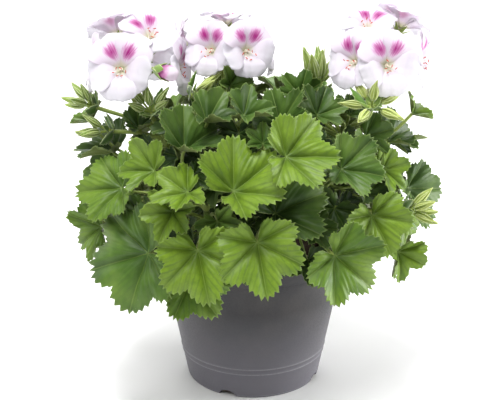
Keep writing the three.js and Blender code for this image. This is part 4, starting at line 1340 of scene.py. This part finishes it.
# The moves that a bloom made in the model to clear its neighbours, found again as the leaves' are.
BLOOM_MOVES = [(push, 1 - 0.04 * smaller) for smaller in range(12) for push in (0, 2, 4, -2, 6)]
HEAD_STALK = [2.0, 1.5, 1.4, 1.6]
HEAD_JOINT = [1.5, 2.9, 2.6, 1.2]
BLOOM_STALK = [1.0, 0.8, 0.75, 0.9]
CALYX_CUP = [0.8, 1.5, 1.9, 1.9]
STYLE = [1.3, 1.5, 0.7, 0.32, 0.26, 0.22]
FILAMENT = [0.22, 0.18, 0.14]
ANTHER = [0.16, 0.32, 0.32, 0.14]
SEPALS = 5
BLOOM_SEED = 700
bud_shapes = {name: [] for name in STEMS}
for head, (node, middle, rows) in HEADS.items():
    middle = np.array(middle, float)
    start = spaced(STEM_CURVES[node], [0.97])[0]
    grow_stalk(node, arching(start, middle, UP, UP), HEAD_STALK, 10, 16, 0.55)
    joint = np.linspace(middle - 2.5 * UP, middle + 1.5 * UP, 9)
    grow_stalk(node, joint, HEAD_JOINT, 12, 8, 0.6)
    for i, (x, y, z, azimuth, lean, turn, size) in enumerate(rows):
        name = f"bloom_{head}_{i + 1}"
        normal, down, right = facing(azimuth, lean)
        spin = math.radians(turn)
        down = down * math.cos(spin) + right * math.sin(spin)
        way = (normal, down, np.cross(normal, down))
        corners = np.empty(len(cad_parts[name].data.vertices) * 3)
        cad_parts[name].data.vertices.foreach_get("co", corners)
        corners = corners.reshape(-1, 3) / MM
        best = (1e9, None, None)
        for push, smaller in BLOOM_MOVES:
            throat = np.array([x, y, z], float) + push * normal
            expected = bloom_corners(throat, way, size * smaller)
            miss = sum(np.linalg.norm(corners - point, axis=1).min() for point in expected)
            if miss < best[0]:
                best = (miss, throat, size * smaller)
        miss, throat, size = best
        # Each bloom has a ruffle of its own.
        random = np.random.default_rng(BLOOM_SEED + len(name) * 31 + i * 7 + ord(head[0]))
        shapes = [
            petal(throat, way, size, *row, blotch_side=blotch_side, random=random)
            for row, blotch_side in zip(PETALS, (-1, 1, 0, 0, 0))
        ]
        # The pistil fills the throat, and the stamens fan out round it and droop toward its foot.
        foot = throat - 7.8 * normal
        style = arching(foot, foot + 6.2 * normal + 1.2 * down, normal, unit(normal + 0.4 * down))
        shapes.append(tube(style, STYLE, 9, 9, {}, 2))
        for k in range(STAMENS):
            turn = 2 * math.pi * (k + 0.7 * random.random()) / STAMENS
            open_out = 0.25 + 0.45 * random.random()
            sway = open_out * (down * math.cos(turn) + way[2] * math.sin(turn)) + 0.34 * down
            tip = foot + (7.4 + 2.4 * random.random()) * unit(normal + sway)
            shapes.append(tube(np.linspace(foot, tip, 9), FILAMENT, 5, 4, {}, 2))
            lie = unit(0.4 * normal + random.standard_normal(3))
            anther = np.linspace(tip - 1.05 * lie, tip + 1.05 * lie, 9)
            shapes.append(tube(anther, ANTHER, 6, 5, {}, 1))
        finishes = [petal_white, anther_orange, filament_pale]
        bloom = piece(name + "_petals", shapes, finishes)
        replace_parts(bloom, name)
        seat = throat - (THROAT_DEPTH + CAD_PETAL_THICKNESS / 2 + GAP) * normal
        base = seat - CALYX_LENGTH * normal
        outward = unit(base - middle)
        root = middle + 0.6 * JOINT_RADIUS * outward
        grow_stalk(node, arching(root, base, outward, normal), BLOOM_STALK, 8, 14, 0.7)
        calyx = np.linspace(base - 1.5 * normal, seat, 9)
        grow_stalk(node, calyx, CALYX_CUP, 10, 8, 0.85)
        for k in range(SEPALS):
            turn = 2 * math.pi * (k + 0.5) / SEPALS
            side = down * math.cos(turn) + way[2] * math.sin(turn)
            along = unit(normal + 0.75 * side)
            foot = base + 3.0 * normal + 1.2 * side
            bud_shapes[node].append(pointed_scale(foot, along, side, 8.8, 3.4, 0.06, 0.45))

# The buds: clusters of pointed green buds on short stalks. Each bud is wrapped in five narrow
# sepals, pale lime with a whitish hairy edge, and small bracts sit where the stalks part.
# Each cluster: where its stalks part, the way it faces and leans back, how far it spreads, how many
# buds it has, their length, the length of their stalks, and how light a green they are.
BUD_CLUSTERS = [
    (-106, -8, 196, -80, 25, 48, 5, 9, 13, 0.35),
    (-95, -16, 181, -85, 5, 40, 5, 9, 14, 0.45),
    (-66, -24, 196, -10, 70, 55, 6, 9, 14, 0.35),
    (-38, -26, 208, 75, 15, 40, 5, 14, 8, 0.9),
    (-20, -6, 206, 0, 80, 30, 4, 10, 14, 0.6),
    (43, 2, 204, 20, 82, 26, 5, 12, 18, 0.45),
    (75, -42, 205, 0, 70, 100, 7, 11, 13, 0.9),
    (101, -40, 134, 85, 5, 42, 5, 12, 10, 0.85),
]
CLUSTER_STALK = [1.9, 1.4, 1.3, 1.5]
CLUSTER_JOINT = [1.3, 2.4, 2.1, 1.0]
BUD_STALK = [0.9, 0.75, 0.8, 1.0]
SMALL_BRACTS = 5
LEAFY_BRACTS = 3
CLUSTER_SEED = 101
# The moves that a cluster made in the model to clear its neighbours.
CLUSTER_MOVES = [
    np.array([sideways, -forward, -drop], float)
    for drop in (0, 4, 8, 12)
    for sideways, forward in [(0, 0), (4, 0), (-4, 0), (0, 4), (0, -4), (8, 0), (-8, 0)]
]


def cluster_buds(fork, azimuth, lean, spread, count, reach, seed):
    """The root, the direction and the stalk length of each bud of a cluster."""
    random = stream(seed)
    normal, down, right = facing(azimuth, lean)
    buds = []
    for k in range(count):
        turn = k / count * 2 * math.pi + next(random) * 0.5
        share = 0.15 if k == 0 else 0.7 + 0.3 * next(random)
        opened = math.radians(spread) * share
        side = down * math.cos(turn) + right * math.sin(turn)
        way = normal * math.cos(opened) + math.sin(opened) * side
        buds.append((fork + 0.6 * JOINT_RADIUS * way, way, reach * (0.7 + 0.3 * next(random))))
    return buds


# A living sepal or bract: lime green and dull, with a fringe of white hairs that turns its edge
# pale and gives it a velvet bloom. The hairs are a few hundredths of a millimetre thick, so their
# relief is drawn coarser.
SEPAL_HAIR = 1.1
sepal_lime, tree, output = new_material("hairy_lime_sepal")
shape = add(tree, "Attribute", attribute_name="sepal")
spot = add(tree, "SeparateXYZ", {"Vector": shape}).node.outputs
look = add(tree, "Attribute", attribute_name="look")
looks = add(tree, "SeparateXYZ", {"Vector": look}).node.outputs
place = add(tree, "TexCoord").node.outputs["Object"]
side = add(tree, "Math", {0: spot["X"]}, operation="ABSOLUTE")
fringe = add(
    tree,
    "MapRange",
    {"Value": side, "From Min": 0.75, "From Max": 1, "To Min": 0, "To Max": 0.5},
)
body = add(
    tree,
    "Mix",
    {"Factor": looks["X"], "A": linear("#4C7422"), "B": linear("#ACB95C")},
    data_type="RGBA",
)
colour = add(tree, "Mix", {"Factor": fringe, "A": body, "B": linear("#D9E1AC")}, data_type="RGBA")
fuzz = add(tree, "TexNoise", {"Vector": place, "Scale": 1 / (SEPAL_HAIR * MM), "Detail": 3})
relief = add(tree, "Bump", {"Height": fuzz, "Strength": 0.35, "Distance": 0.3 * MM})
surface = add(
    tree,
    "BsdfPrincipled",
    {
        "Base Color": colour,
        "Roughness": 0.6,
        "Normal": relief,
        "IOR": 1.4,
        "Sheen Weight": 0.4,
        "Sheen Roughness": 0.4,
        "Sheen Tint": linear("#FFFFFF"),
    },
)
tree.links.new(surface, output.inputs["Surface"])

for i, (x, y, z, azimuth, lean, spread, count, length, reach, ripe) in enumerate(BUD_CLUSTERS):
    best = (-1, None, None)
    for move in CLUSTER_MOVES:
        fork = np.array([x, y, z], float) + move
        buds = cluster_buds(fork, azimuth, lean, spread, count, reach, CLUSTER_SEED + i)
        match = nearness([root + way * (short + length) for root, way, short in buds], 0, 0.05)
        if match > best[0]:
            best = (match, fork, buds)
    match, fork, buds = best
    node, point = growing_points(fork)[0]
    normal, down, right = facing(azimuth, lean)
    grow_stalk(node, arching(point, fork, UP, normal), CLUSTER_STALK, 9, 16, 0.6)
    joint = np.linspace(fork - 2 * normal, fork + 1.2 * normal, 9)
    grow_stalk(node, joint, CLUSTER_JOINT, 10, 8, 0.7)
    for k in range(SMALL_BRACTS):
        turn = 2 * math.pi * k / SMALL_BRACTS + i
        side = down * math.cos(turn) + right * math.sin(turn)
        foot, along = fork + 1.2 * side, unit(normal * 0.7 + side)
        bud_shapes[node].append(pointed_scale(foot, along, normal, 8, 4.6, -0.1, 0.25))
    for k in range(LEAFY_BRACTS):
        turn = 2 * math.pi * (k + 0.4) / LEAFY_BRACTS + 2 * i
        side = unit(down * math.cos(turn) + right * math.sin(turn) + 0.6 * UP)
        foot, along = fork - 3 * normal + 1.2 * side, unit(normal * 0.55 + side)
        bract = pointed_scale(foot, along, normal, 13 + 3 * k, 8.5, -0.12, 0.05, BRACT_TEETH)
        bud_shapes[node].append(bract)
    for k, (root, way, short) in enumerate(buds):
        across = unit(np.cross(way, UP + 0.01 * right))
        other = np.cross(way, across)
        foot = root + way * 0.45 * short
        tall = 0.55 * short + 0.98 * length
        stalk = np.linspace(root, foot + 0.1 * tall * way, 9)
        grow_stalk(node, stalk, BUD_STALK, 8, 8, 0.75)
        body = np.linspace(foot, foot + 0.86 * tall * way, 12)
        swell = [0.8, 0.12 * tall, 0.13 * tall, 0.09 * tall, 0.03 * tall]
        grow_stalk(node, body, swell, 10, 9, ripe)
        for n in range(SEPALS):
            turn = 2 * math.pi * n / SEPALS + i
            side = across * math.cos(turn) + other * math.sin(turn)
            open_out = 0.05 + 0.06 * ((n * 3 + k) % 5) / 4
            along = unit(way + open_out * side)
            sepal_length = tall * (0.84 + 0.05 * ((n + k) % 4))
            green = ripe + 0.1 * ((n + 2 * k) % 4 - 1.5)
            sepal = pointed_scale(
                foot + side * 0.06 * tall, along, side, sepal_length, 0.38 * tall, -0.11, green
            )
            bud_shapes[node].append(sepal)

# One flower bud of the left head is opening: its sepals stand back and its petals, still rolled
# round each other, show the magenta of their blotches between them.
OPENING_FOOT = (-63, -35, 228)
OPENING_FACES = 62
OPENING_LEAN = -8
OPENING_LENGTH = 17
OPENING_STALK = [1.0, 0.8, 0.75, 1.1]
OPENING_SWELL = [0.9, 2.0, 3.3, 4.2, 4.8, 4.6, 3.0]
ROLLED_SIDES = 24
ROLLED_STEPS = 18
ROLLED_PETALS = 3
foot = np.array(OPENING_FOOT, float)
way, out_front, out_side = facing(OPENING_FACES, OPENING_LEAN)
node, middle = HEADS["left"][0], np.array(HEADS["left"][1], float)
outward = unit(foot - middle)
root = middle + 0.6 * JOINT_RADIUS * outward
stalk = arching(root, foot, outward, way)
grow_stalk(node, stalk, OPENING_STALK, 8, 14, 0.8)
spine = np.linspace(foot, foot + OPENING_LENGTH * way, 12)
rolled = tube(spine, OPENING_SWELL, ROLLED_SIDES, ROLLED_STEPS, {}, 1)
points = np.array(rolled["points"])
share = np.clip((points - foot) @ way / OPENING_LENGTH, 0, 1)
axis = foot + (share * OPENING_LENGTH)[:, None] * way
turn = np.arctan2((points - axis) @ out_side, (points - axis) @ out_front)
overlap = (turn / (2 * math.pi) * ROLLED_PETALS + 0.8 * share) % 1
rolled["points"] = axis + (points - axis) * (0.84 + 0.28 * overlap)[:, None]
rolled["values"] = {"petal": np.stack([0.4 * overlap, 0.38 + 0.55 * share, 0 * share + 1], -1)}
bud_shapes[node].append(rolled)
for k in range(SEPALS):
    turn = 2 * math.pi * (k + 0.3) / SEPALS
    side = out_front * math.cos(turn) + out_side * math.sin(turn)
    along = unit(way + 0.85 * side)
    sepal = pointed_scale(foot + 1.1 * side, along, side, 12 - k % 3, 6.4, -0.2, 0.2)
    bud_shapes[node].append(sepal)

# Each shoot is one living piece, rooted in the compost. It is put together from its stalks, its
# leaves and its buds, and takes the place of its solid.
for name in STEMS:
    label = name.replace("stem_", "")
    stalks = piece("stalks_" + label, stalk_shapes[name], [stem_green])
    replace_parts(stalks, name)
    if leaf_shapes[name]:
        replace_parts(piece("leaves_" + label, leaf_shapes[name], [leaf_green]), name)
    if bud_shapes[name]:
        buds = piece("buds_" + label, bud_shapes[name], [sepal_lime, petal_white])
        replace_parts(buds, name)
